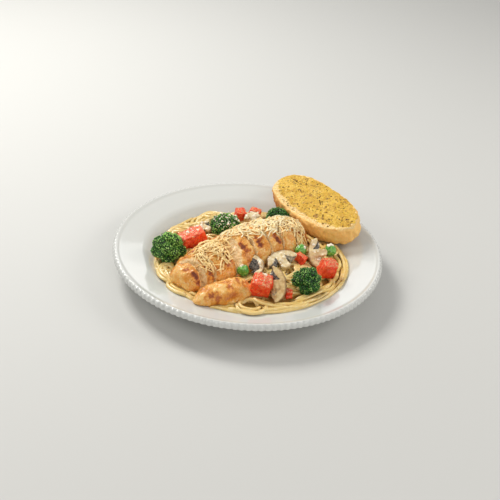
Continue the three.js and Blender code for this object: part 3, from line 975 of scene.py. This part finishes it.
def laid(shape, place, heading):
    """Turns a piece to its heading, puts it down and lets its underside follow the heap."""
    put(shape, shape.verts, Matrix.Rotation(heading, 3, "Z"), place)
    for vert in shape.verts:
        floor = max(heap_top(vert.co.x, vert.co.y), plate_top(vert.co.x, vert.co.y)) + 0.4 * MM
        if vert.co.z < floor:
            vert.co.z = floor - 0.05 * (floor - vert.co.z)


def roasted(name, settings):
    finish = Finish(name)
    grain = finish.noise(1.5, 4, 0.65)
    blotch = finish.noise(6, 4, 0.6)
    char = finish.attribute("char") + 0.5 * grain + 0.3 * blotch - 0.4
    fibres = finish.noise(2.0, 4, 0.65, 0.8)
    flesh = finish.mix(fibres.step(0.3, 0.7), "e2b474", settings.flesh)
    outside = finish.mix(blotch.step(0.35, 0.65), "f5c46c", settings.skin)
    base = finish.mix(finish.attribute("skin"), flesh, outside)
    crumbs = finish.noise(1.3, 3, 0.6).step(0.54, 0.64) * 0.5
    browned = (char.step(0.18, 0.45), "e6962c"), (char.step(0.42, 0.72), "b86018")
    base = finish.layered(base, (crumbs, "ffeac0"), *browned, (char.step(0.72, 1.0), settings.sear))
    coat = 0.35 - 0.3 * char.step(0.4, 0.9)
    relief = (fibres + 0.6 * grain, 0.8)
    return finish.glossy(base, 0.36 + 0.25 * fibres, coat, 0.22, (0.1, (1.0, 0.5, 0.25), 1.0), relief)


class DISH_OT_chicken(bpy.types.Operator):
    """Slices the grilled breast, fans it out and lays the small fillet beside it"""

    bl_idname = "dish.chicken"
    bl_label = "Chicken"

    def execute(self, context):
        settings = context.scene.dish.chicken
        surface = roasted("grilled chicken", settings)
        whole = sum(piece[0] for piece in SLICES) * MM
        start = -whole / 2
        place = Vector((-62 * MM, -76 * MM, 0))
        for index, (thick, gap, base, degrees, more_lean) in enumerate(SLICES):
            thick = thick * MM
            middle = Vector((start + thick / 2, 0, 0))
            shape = tapered(2.9, 0.2, (whole / 2, settings.width / 2, settings.height))
            planes = []
            if index > 0:
                planes.append((Vector((start, 0, 0)), -cut_normal(more_lean)))
            if index < len(SLICES) - 1:
                planes.append((Vector((start + thick, 0, 0)), cut_normal(0)))
            for point, side in planes:
                cut_off(shape, point, side)
            bmesh.ops.translate(shape, verts=shape.verts, vec=-middle)
            planes = [(point - middle, side) for point, side in planes]
            shape = evened(shape, 0.8, 3)
            char_layer = seared(shape, index + 1, planes)
            slumped(shape, planes)
            roughened(shape, [(15, 1.6), (5, 1.1), (2.2, 0.55)], index)
            sunk(shape, CHAR_DEPTH, char_layer)
            heading = math.radians(degrees)
            step = Vector((math.cos(heading), math.sin(heading), 0))
            place = place + step * (gap * MM + thick / 2)
            laid(shape, place + Vector((0, 0, base * MM)), heading)
            place = place + step * thick / 2
            start += thick
            number = index + 1
            finished(f"grilled_slice_{number}", shape, surface, [f"chicken_slice_{number}"])

        fillet = evened(tapered(2.1, 0.4, (30 * MM, 14.5 * MM, 14 * MM), 0.25), 0.8, 2)
        char_layer = seared(fillet, FILLET, [])
        roughened(fillet, [(14, 1.8), (5, 1.1), (2.2, 0.5)], FILLET)
        sunk(fillet, CHAR_DEPTH, char_layer)
        laid(fillet, Vector((-20, -85, 25)) * MM, 0.5)
        finished("grilled_fillet", fillet, surface, ["chicken_tender"])
        return {"FINISHED"}


# ---------------------------------------- cheese

# middle, half-length, half-width and turn of each patch, its share of the strips, the lowest height it
# reaches and how browned it is
CHEESE_PATCHES = [
    (-33, -43, 18, 25, -0.1, 0.28, 34, 0.7),
    (13, 7, 45, 17, 0.6, 0.5, 34, 0),
    (36, 24, 20, 14, 0.5, 0.14, 34, 0),
    (47, 13, 8, 12, 0.5, 0.07, 26, 0.4),
]
SHRED_POINTS = 7
SHRED_WIDTH = 1.8 * MM
SHRED_THICK = 0.85 * MM


class DISH_OT_cheese(bpy.types.Operator):
    """Strews shredded cheese over the chicken"""

    bl_idname = "dish.cheese"
    bl_label = "Cheese"

    def execute(self, context):
        settings = context.scene.dish.cheese
        chance = random.Random(SEEDS["cheese"])
        names = ["grilled_fillet", *(f"grilled_slice_{i + 1}" for i in range(len(SLICES)))]
        meat = tree_over(bpy.data.objects[name].data for name in names)
        ground = Ground((-80, -90), (85, 65), 0.5)
        ground.height = heap_top(ground.x, ground.y)
        ground.ceiling[:] = CAD_BOX[1][2] - 0.4 * MM
        for i, j, height in ground.seen(meat, 80, DOWN):
            ground.height[i, j] = max(height, ground.height[i, j])
        lines = []
        for x, y, wide, deep, turn, share, lowest, browned in CHEESE_PATCHES:
            for _ in range(int(settings.strips * share)):
                spot = Vector(strewn(chance, wide, deep, 0.62))
                spot = (Matrix.Rotation(turn, 2) @ spot + Vector((x, y))) * MM
                if ground.height[ground.cells(np.array([spot]), 0)[:2]].item() < lowest * MM:
                    continue
                reach = chance.uniform(5, 14) * MM
                heading = chance.uniform(0, math.pi)
                bend = chance.uniform(-0.13, 0.13) / MM
                angle = heading + bend * (np.linspace(-0.5, 0.5, SHRED_POINTS) * reach)
                steps = np.column_stack([np.cos(angle), np.sin(angle)]) * (reach / (SHRED_POINTS - 1))
                plan = np.array([spot]) + np.cumsum(steps, axis=0) - steps.sum(axis=0) / 2
                points = ground.lay(plan, 1.2 * MM, SHRED_THICK, 0.1 * MM)
                tilts = np.linspace(-1, 1, SHRED_POINTS) * chance.uniform(0.1, 0.8)
                tilts += chance.uniform(-0.5, 0.5)
                lines.append((points, tilts, browned + (1 - browned) * chance.random()))
        finish = Finish("shredded cheese")
        base = finish.mix(finish.attribute("tone"), settings.colour, "ffd88e")
        surface = finish.glossy(base, 0.45 + 0.2 * finish.noise(3), flesh=(0.08, (1.0, 0.7, 0.35), 1))
        finished("cheese_shreds", swept(lines, SHRED_WIDTH, SHRED_THICK, 5), surface)
        return {"FINISHED"}


# ---------------------------------------- broccoli

# name, radius, height, place, tilt, number of lobes, how pale their lobes may be (painted light makes those
# on the +x side paler), seed
FLORETS = [
    ("broccoli_left", 15, 23, (-76.5, -21, 27.5), (0.45, -0.2, 0), 13, 1.0, 11),
    ("broccoli_back_left", 15, 12, (-25, 30, 29.5), (0.2, -0.1, 0.5), 20, 1.0, 12),
    ("broccoli_back", 11.5, 9, (28, 57, 29.5), (0.1, 0, 1), 20, 0.3, 13),
    ("broccoli_front", 13, 23, (56.5, -62, 29.5), (0.5, 0.1, 0), 18, 0, 14),
]

# the golden angle, which spreads buds evenly over a ball
SPIRAL_TURN = 2.39996


def floret(radius, height, count, bud, pale, chance):
    """A stalk that branches to lobes, each studded with buds along a spiral."""
    shape = bmesh.new()
    stem = layers(shape, "tip", "stalk", "lobe")[1]

    def stalk(sides, low, high, long, turn, place):
        made = bmesh.ops.create_cone(
            shape, cap_ends=True, segments=sides, radius1=low * radius, radius2=high * radius, depth=long
        )["verts"]
        put(shape, made, turn, place)
        for vert in made:
            vert[stem] = 1

    lobes = []
    breadth = math.sqrt(20 / count)
    for index in range(count):
        up = 0.97 * (index + 0.5) / count
        around = 2.4 * index + chance.uniform(-0.25, 0.25)
        out = 0.72 * radius * math.sqrt(1 - up**2)
        middle = Vector((out * math.cos(around), out * math.sin(around), up * height * 0.8))
        lobes.append((middle, radius * breadth * chance.uniform(0.27, 0.34)))
    root = Vector((0, 0, -radius))
    for middle, size in lobes:
        made = bmesh.ops.create_icosphere(shape, subdivisions=2, radius=size * 0.93)["verts"]
        bmesh.ops.translate(shape, verts=made, vec=middle)
        branch = root.lerp(middle, 0.75) - root
        way = UP.rotation_difference(branch).to_matrix()
        stalk(8, 0.13, 0.1, branch.length, way, root + branch / 2)
    stalk(14, 0.3, 0.42, 0.6 * radius, turned(0, 0, 0), (0, 0, -0.75 * radius))
    for middle, size in lobes:
        others = [other for other in lobes if other[0] != middle]
        # Each lobe is paler by a random share of pale; lobes on the -x side keep only 0.4 of it, so the +x
        # side comes out lighter as painted light.
        shade = pale * chance.uniform(0.1, 1) * (1 if middle.x > 0 else 0.4)
        total = int(11 * (size / bud) ** 2)
        crown = bmesh.new()
        tip, _, light = layers(crown, "tip", "stalk", "lobe")
        for number in range(total):
            up = 1 - 2 * (number + 0.5) / total
            around = SPIRAL_TURN * number
            flat = math.sqrt(1 - up**2)
            way = Vector((flat * math.cos(around), flat * math.sin(around), up))
            spot = middle + size * way
            if spot.z < -0.15 * radius:
                continue
            if any((spot - other).length < reach * 0.95 for other, reach in others):
                continue
            jitter = Vector([chance.uniform(-0.35, 0.35) * bud for _ in range(3)])
            place = Matrix.Translation(spot + jitter + way * chance.uniform(-0.1, 0.3) * bud)
            grow = bud / 2 * chance.uniform(0.75, 1.25)
            made = bmesh.ops.create_icosphere(crown, subdivisions=1, radius=grow, matrix=place)["verts"]
            # How far out a point of a bud lies, and less so towards the floret's middle; the crown's colour
            # uses it to paint shade deep between the buds and highlight on the outer buds.
            outward = min((spot - Vector((0, 0, 0.2 * height))).length / radius, 1)
            for vert in made:
                vert[tip] = held(((vert.co - middle).length / size - 0.9) / 0.25) * outward
                vert[light] = shade
        part = bpy.data.meshes.new("part")
        crown.to_mesh(part)
        crown.free()
        shape.from_mesh(part)
        bpy.data.meshes.remove(part)
    return shape


def broccoli_green_and_painted_shade(name, settings):
    finish = Finish(name)
    tip = finish.attribute("tip")
    lobe = finish.attribute("lobe")
    # Paler green on some lobes: a random tone, and painted light on the +x side.
    base = finish.mix(lobe, settings.broccoli, "80bc4e")
    # Paler yellow-green on the outer buds, partly the buds' own colour and partly painted highlight.
    base = finish.mix((tip * (finish.noise(2.5) + 0.12 * lobe)).step(0.44, 0.6), base, "acd872")
    # Painted shade: near-black green deep between the buds and towards the floret's middle.
    base = finish.mix(tip.step(0.1, 0.7), "0c280a", base)
    base = finish.mix(finish.attribute("stalk"), base, "8fae5a")
    return finish.glossy(base, 0.42 + 0.2 * finish.noise(4), 0.15, flesh=(0.1, (0.4, 1.0, 0.2), 1))


class DISH_OT_broccoli(bpy.types.Operator):
    """Grows the broccoli florets bud by bud"""

    bl_idname = "dish.broccoli"
    bl_label = "Broccoli"

    def execute(self, context):
        settings = context.scene.dish.vegetables
        surface = broccoli_green_and_painted_shade("broccoli", settings)
        for name, radius, height, at, tilt, lobes, pale, seed in FLORETS:
            shape = floret(radius * MM, height * MM, lobes, settings.bud, pale, random.Random(seed))
            put(shape, shape.verts, turned(*tilt), Vector(at) * MM)
            for vert in shape.verts:
                vert.co.z = max(vert.co.z, plate_top(vert.co.x, vert.co.y) + 0.4 * MM)
            finished(name + "_floret", shape, surface, [name])
        return {"FINISHED"}


# ---------------------------------------- tomato

# sides, place and turn
TOMATO_DICE = {
    "tomato_left": ((27, 18, 15), (-56, 1, 32), (0.1, -0.2, 0.5)),
    "tomato_back_left": ((12, 11, 12), (-11, 55, 32), (0.2, 0.2, 0.3)),
    "tomato_back_right": ((13, 10, 10), (4, 62, 31), (0, 0.2, -0.2)),
    "tomato_front": ((20, 17, 23), (15, -77, 33), (0.3, 0.1, -0.15)),
    "tomato_right": ((16, 14, 24), (77, -36, 30), (0.2, 0.3, 0.3)),
    "tomato_middle": ((13, 9, 9), (52, -20, 31), (0, 0.4, -0.5)),
    "tomato_strip": ((7, 8, 11), (41, -79, 27), (0, 0, 0.2)),
}


def squared(shape, half, at, turn):
    """Draws the edges and corners of a rounded block out to make its faces flatter."""
    back = turn.inverted()
    for vert in shape.verts:
        local = back @ (vert.co - at)
        shares = [abs(place / side) for place, side in zip(local, half)]
        round_reach = sum(share**4 for share in shares) ** 0.25
        square_reach = sum(share**9 for share in shares) ** (1 / 9)
        vert.co = at + turn @ local * (round_reach / square_reach) ** 0.7


def tomato(name, settings):
    finish = Finish(name)
    veins = finish.noise(2.6, 4, 0.65, 0.5)
    top = finish.attribute("top")
    # Painted light and shade: the faces turned up are lighter orange and get a few more pale drops, and the
    # other faces are darker red in patches.
    deep = finish.noise(8).step(0.5, 0.75) * (1 - top)
    drops = (finish.noise(2.0, 4, 0.65, 0.8) + 0.1 * top).step(0.585, 0.68)
    coats = (veins.step(0.4, 0.6), "ff6630"), (deep, "d01c08"), (top * 0.2, "fd6a36"), (drops * 0.7, "ffd092")
    base = finish.layered(settings.tomato, *coats)
    flesh = (0.1, (1.0, 0.25, 0.1), 2)
    return finish.glossy(base, 0.3 + 0.25 * veins, 0.15, flesh=flesh, relief=(veins + 0.6 * drops, 0.6))


class DISH_OT_tomatoes(bpy.types.Operator):
    """Cuts the diced tomato"""

    bl_idname = "dish.tomatoes"
    bl_label = "Tomatoes"

    def execute(self, context):
        surface = tomato("tomato", context.scene.dish.vegetables)
        for index, (name, (sides, at, turn)) in enumerate(TOMATO_DICE.items()):
            shape = evened(node_shape(name), 0.55, 1)
            squared(shape, Vector(sides) * MM / 2, Vector(at) * MM, turned(*turn))
            roughened(shape, [(7, 1.2), (2.6, 0.6)], index)
            shape.normal_update()
            # How much each point faces up, which the tomato's colour uses to paint light on the top faces.
            (top,) = layers(shape, "top")
            for vert in shape.verts:
                vert[top] = held((vert.normal.z - 0.3) / 0.5)
            finished(name + "_die", shape, surface, [name])
        return {"FINISHED"}


# ---------------------------------------- mushrooms

# cap's half breadth, rise, stalk's half breadth, place, turn, how dark the gills are on either side,
# and how browned the flesh is
MUSHROOM_SLICES = [
    ("mushroom_front", 18.5, 12, 4.5, (27, -77, 35.5), (0.6, 0, -1.45), (1, 0.4), 0.9),
    ("mushroom_right", 17, 11, 4, (69, -12, 33), (0.6, 0, 1.7), (0.3, 1), 0.6),
    ("mushroom_middle", 17, 13, 5, (34, -30, 32), (0.35, 0.1, 0.6), (1, 0.5), 0.25),
    ("mushroom_low", 11, 12, 4.5, (6, -43.5, 33), (0.55, 0, -1.35), (1, 1), 0.1),
    ("mushroom_left", 9, 8, 3, (-45, 25, 30), (0.5, 0, 1.2), (0.6, 0.6), 0.1),
    ("mushroom_back", 9, 7, 3, (2, 46, 34), (0.6, 0, 0.3), (0.4, 0.4), 0),
]

# in mm, how far the darkest gills are sunk in
GILL_DEPTH = 0.9


def below_gills(u, v, stalk, side_on):
    """How far a point of a slice lies below the top of the gills, in shares of the cap's rise."""
    share = (abs(u) - stalk) / (1 - stalk)
    if share > 0.9 or (share < 0 and not side_on):
        return 0
    share = max(share, 0)
    underside = 0.12 * (1 - share) ** 2 - 0.6 * share * (1 - share)
    return underside + 0.42 * (1 - share) - v


def mushroom(name):
    finish = Finish(name)
    flecks = finish.noise(1.4, 3, 0.6)
    gill = finish.attribute("gill") + 0.5 * flecks + 0.5 * finish.noise(3) - 0.5
    pale = finish.mix(finish.noise(4, 4).step(0.35, 0.65), "fbf0cf", "e2ca96")
    cooked = finish.mix(finish.noise(5, 4).step(0.35, 0.65), "e4c88c", "bc9050")
    flesh = finish.mix(finish.attribute("browned") + 0.6 * finish.noise(7) - 0.3, pale, cooked)
    base = finish.mix(finish.attribute("skin"), flesh, "8f6a3c")
    dark = finish.mix(flecks.step(0.35, 0.65), "201d1a", "837a6c")
    base = finish.mix(gill.step(0.3, 0.6), base, dark)
    rough = 0.35 + 0.2 * finish.noise(3)
    relief = (finish.noise(1.8, 3) + flecks, 0.25)
    return finish.glossy(base, rough, 0.3, flesh=(0.1, (1.0, 0.8, 0.5), 1.5), relief=relief)


class DISH_OT_mushrooms(bpy.types.Operator):
    """Slices the mushrooms and darkens their gills"""

    bl_idname = "dish.mushrooms"
    bl_label = "Mushrooms"

    def execute(self, context):
        surface = mushroom("mushroom")
        for index, (name, cap, rise, stalk, at, turn, gills, browned) in enumerate(MUSHROOM_SLICES):
            shape = node_shape(name)
            turn = turned(*turn)
            at = Vector(at) * MM
            for side in (-1, 1):
                gilled = Matrix.Translation(at) @ turn.to_4x4()
                gilled = gilled @ Matrix.Translation(Vector((0.5 * side * cap, -0.02 * rise, 0)) * MM)
                gilled = gilled @ Matrix.Diagonal((0.34 * cap, 0.3 * rise, 1.7, 1))
                bmesh.ops.create_icosphere(shape, subdivisions=3, radius=MM, matrix=gilled)
            shape = evened(shape, 0.5, 6)
            gill, skin, brown = layers(shape, "gill", "skin", "browned")
            back = turn.inverted()
            for vert in shape.verts:
                local = back @ (vert.co - at) / MM
                u = local.x / cap
                v = local.y / rise
                depth = below_gills(u, v, stalk / cap, name == "mushroom_low")
                vert[gill] = held(depth / 0.12) * gills[u > 0]
                dome = 0.94 * (1 - min(abs(u), 1) ** 2.4) ** 0.6
                vert[skin] = held((v - dome + 0.2) / 0.14)
                vert[brown] = browned
                if local.y < 0 and abs(u) < 1.3 * stalk / cap:
                    vert.co -= turn @ Vector((0, 0.35 * local.y * abs(local.x / stalk) ** 3, 0)) * MM
            roughened(shape, [(9, 1.4), (3, 0.6)], index + 20)
            sunk(shape, GILL_DEPTH, gill)
            finished(name + "_slice", shape, surface, [name])
        return {"FINISHED"}


# ---------------------------------------- peas

PEAS = [("pea_middle", (-3, -50, 31)), ("pea_back", (52, -7, 32)), ("pea_right", (82, 5, 27.5))]
PEA_RADIUS = 5.9 * MM


class DISH_OT_peas(bpy.types.Operator):
    """Drops the peas"""

    bl_idname = "dish.peas"
    bl_label = "Peas"

    def execute(self, context):
        finish = Finish("pea")
        base = finish.mix(finish.noise(2.2).step(0.4, 0.62), context.scene.dish.vegetables.pea, "86c45e")
        relief = (finish.noise(2.5, 2), 0.2)
        surface = finish.glossy(
            base, 0.25 + 0.15 * finish.noise(3), 0.4, flesh=(0.25, (0.5, 1.0, 0.3), 2), relief=relief
        )
        for index, (name, at) in enumerate(PEAS):
            shape = bmesh.new()
            bmesh.ops.create_icosphere(shape, subdivisions=5, radius=PEA_RADIUS)
            roughened(shape, [(5, 0.8), (2.2, 0.3)], index + 40)
            bmesh.ops.translate(shape, verts=shape.verts, vec=Vector(at) * MM)
            finished(name + "_round", shape, surface, [name])
        return {"FINISHED"}


# ---------------------------------------- cream

# middle and half-sizes of each spatter of sauce and the number of its dabs
SPATTERS = [
    (-25, 30, 13, 13, 90),
    (4, 48, 11, 6, 26),
    (-45, 25, 7, 6, 14),
    (34, -30, 12, 10, 18),
    (52, -7, 5, 5, 8),
    (82, 5, 5, 5, 7),
    (69, -12, 8, 10, 12),
    (-56, 3, 12, 8, 12),
    (15, -77, 9, 8, 8),
    (-3, -50, 4, 4, 6),
    (12, -42, 3, 6, 5),
]
SPATTERED = ("_floret", "_die", "_slice", "_round", "_strands")


class DISH_OT_cream(bpy.types.Operator):
    """Spatters cream sauce over the vegetables"""

    bl_idname = "dish.cream"
    bl_label = "Cream"

    def execute(self, context):
        chance = random.Random(SEEDS["cream"])
        tree = tree_over(piece.data for piece in bpy.data.objects if piece.name.endswith(SPATTERED))
        dabs = bmesh.new()
        for x, y, wide, deep, count in SPATTERS:
            for _ in range(count):
                across, back = strewn(chance, wide, deep)
                hit, normal, _, _ = tree.ray_cast(Vector((x + across, y + back, 80)) * MM, DOWN)
                if not hit or hit.z > CAD_BOX[1][2] - 1 * MM:
                    continue
                size = chance.choice((0.7, 0.8, 1.0, 1.3, 1.9)) * MM
                spin = UP.rotation_difference(normal).to_matrix()
                spin = spin @ Matrix.Rotation(chance.uniform(0, 6), 3, "Z")
                flat = Matrix.Diagonal((1, chance.uniform(0.5, 1), 0.4, 1))
                place = Matrix.Translation(hit) @ spin.to_4x4() @ flat
                bmesh.ops.create_icosphere(dabs, subdivisions=2, radius=size, matrix=place)
        roughened(dabs, [(1.2, 0.35)])
        finish = Finish("cream")
        base = finish.mix(finish.noise(3), "fffbee", "f2e4c2")
        finished("cream_dabs", dabs, finish.glossy(base, 0.3 + 0.2 * finish.noise(4), 0.3))
        return {"FINISHED"}


# ---------------------------------------- bread

BREAD_LENGTH = 123 * MM
BREAD_WIDTH = 57 * MM
BREAD_THICK = 22 * MM
BREAD_AT = Vector((65, 67.8, 47)) * MM
BREAD_TURN = Matrix.Rotation(math.radians(-51.5), 3, "Z") @ Matrix.Rotation(math.radians(14), 3, "X")

# 2 would make the slice an ellipse, and a higher number squares it
SQUARENESS = 2.3


def buttered(shape):
    """Marks the butter, and how low on the crust each point lies for painted shade at its foot that gives way
    to painted light at the right end, and lets the crumb and crust rise and sink.
    """
    butter, low = layers(shape, "butter", "low")
    back = BREAD_TURN.inverted()
    shape.normal_update()
    for vert in shape.verts:
        local = back @ (vert.co - BREAD_AT)
        along = 2 * local.x / BREAD_LENGTH
        across = 2 * local.y / BREAD_WIDTH
        reach = (abs(along) ** SQUARENESS + abs(across) ** SQUARENESS) ** (1 / SQUARENESS)
        facing = held(((back @ vert.normal).z - 0.3) / 0.5) if local.z > -4 * MM else 0
        coarse = noise.noise(vert.co / (5 * MM))
        edge = held((0.98 - reach + 0.08 * coarse) / (0.05 + 0.4 * max(-across, 0)))
        vert[butter] = facing * edge
        # Painted light: the crust is kept pale towards the right end.
        lit_right_end = held((along + 0.1) / 0.8)
        vert[low] = held((0.16 - local.z / BREAD_THICK) * (1 - 0.85 * lit_right_end))
        pits = noise.noise(vert.co / (3.2 * MM)) * 0.5 + noise.noise(vert.co / (1.7 * MM)) * 0.35
        wave = noise.noise(vert.co / (15 * MM))
        crumb = 0.8 * MM * pits + 0.6 * MM * wave
        crust = 1.3 * MM * coarse + 0.4 * MM * noise.noise(vert.co / (1.9 * MM)) + 0.5 * MM * wave
        vert.co += (facing * crumb + (1 - facing) * crust) * vert.normal
        vert.co.z = min(vert.co.z, CAD_BOX[1][2] - 0.7 * MM)


def crusty(name, settings):
    finish = Finish(name)
    butter = finish.attribute("butter")
    low = finish.attribute("low")
    grain = finish.noise(2.2, 4, 0.6)
    blotch = finish.noise(10, 3)
    # Browned blotches at random, and painted shade darkening the crust towards its foot, less so at the right
    # end.
    browning_and_foot_shade = (low + 0.5 * blotch - 0.25).step(0.05, 0.6)
    specks = grain.step(0.45, 0.7) * (0.32 - 0.25 * low)
    crust = finish.layered(settings.crust, (browning_and_foot_shade, "bb742e"), (specks, "f8cf8c"))
    toast = finish.mix(grain.step(0.35, 0.65), "f6dc9e", "e2b468")
    spread = finish.layered(
        settings.butter,
        (blotch.step(0.35, 0.7), "e4b83e"),
        (grain.step(0.5, 0.7) * 0.7, "b47c24"),
        (finish.noise(1.9, 3, 0.6).step(0.53, 0.64) * 0.6, "eed05a"),
        (finish.noise(3.8, 2, 0.5).step(0.6, 0.66) * 0.75, "94641c"),
    )
    top = finish.mix((butter + 0.4 * grain - 0.2).step(0.45, 0.85), toast, spread)
    base = finish.mix(butter.step(0.02, 0.2), crust, top)
    relief = (finish.noise(1.3, 4, 0.6), 0.45)
    rough = 0.75 - 0.35 * butter * blotch
    return finish.glossy(base, rough, flesh=(0.12, (1.0, 0.6, 0.3), 2), relief=relief)


class DISH_OT_bread(bpy.types.Operator):
    """Bakes the slice of garlic bread and strews its herbs"""

    bl_idname = "dish.bread"
    bl_label = "Garlic bread"

    def execute(self, context):
        settings = context.scene.dish.bread
        shape = evened(node_shape("garlic_bread"), 0.75, 3)
        buttered(shape)
        tree = BVHTree.FromBMesh(shape)
        finished("garlic_bread_slice", shape, crusty("garlic bread", settings), ["garlic_bread"])

        chance = random.Random(SEEDS["herbs"])
        flecks = bmesh.new()
        (tone,) = layers(flecks, "tone")
        for _ in range(settings.flecks):
            along, across = strewn(chance, 0.9, 0.9)
            spot = Vector((along * BREAD_LENGTH / 2, across * BREAD_WIDTH / 2, 0.01))
            hit, normal, _, _ = tree.ray_cast(BREAD_AT + BREAD_TURN @ spot, BREAD_TURN @ DOWN, 0.03)
            if not hit:
                continue
            size = chance.choice((0.4, 0.5, 0.55, 0.65, 0.8, 1.2)) * MM
            made = bmesh.ops.create_icosphere(flecks, subdivisions=1, radius=size)["verts"]
            bmesh.ops.scale(flecks, verts=made, vec=(1, chance.uniform(0.4, 0.8), 0.3))
            spin = UP.rotation_difference(normal).to_matrix() @ Matrix.Rotation(chance.uniform(0, 6), 3, "Z")
            put(flecks, made, spin, hit + normal * 0.1 * MM)
            shade = chance.random()
            for vert in made:
                vert[tone] = shade
        finish = Finish("dried herb")
        base = finish.mix(finish.attribute("tone"), "5a4012", "96742a")
        finished("herb_flecks", flecks, finish.glossy(base, 0.6 + 0.2 * finish.noise(1)))
        return {"FINISHED"}


# ---------------------------------------- add-on


class DISH_PT_panel(bpy.types.Panel):
    """Lists what the dish is laid from"""

    bl_idname = "DISH_PT_panel"
    bl_label = "Fettuccine alfredo"
    bl_space_type = "VIEW_3D"
    bl_region_type = "UI"
    bl_category = "Dish"

    def draw(self, context):
        for operator in OPERATORS:
            self.layout.operator(operator.bl_idname)
        for group in DishSettings.__annotations__:
            box = self.layout.box()
            settings = getattr(context.scene.dish, group)
            for name in settings.__annotations__:
                box.prop(settings, name)


OPERATORS = [
    DISH_OT_stage,
    DISH_OT_plate,
    DISH_OT_pasta,
    DISH_OT_chicken,
    DISH_OT_cheese,
    DISH_OT_broccoli,
    DISH_OT_tomatoes,
    DISH_OT_mushrooms,
    DISH_OT_peas,
    DISH_OT_cream,
    DISH_OT_bread,
]
GROUPS = [PastaSettings, ChickenSettings, CheeseSettings, VegetableSettings, BreadSettings, DishSettings]
CLASSES = [*GROUPS, *OPERATORS, DISH_PT_panel]


def register():
    for cls in CLASSES:
        bpy.utils.register_class(cls)
    bpy.types.Scene.dish = PointerProperty(type=DishSettings)


def unregister():
    del bpy.types.Scene.dish
    for cls in reversed(CLASSES):
        bpy.utils.unregister_class(cls)


def main():
    register()
    for operator in OPERATORS:
        group, name = operator.bl_idname.split(".")
        if getattr(getattr(bpy.ops, group), name)() != {"FINISHED"}:
            raise RuntimeError(f"{operator.bl_label} didn't finish")


if __name__ == "__main__":
    main()
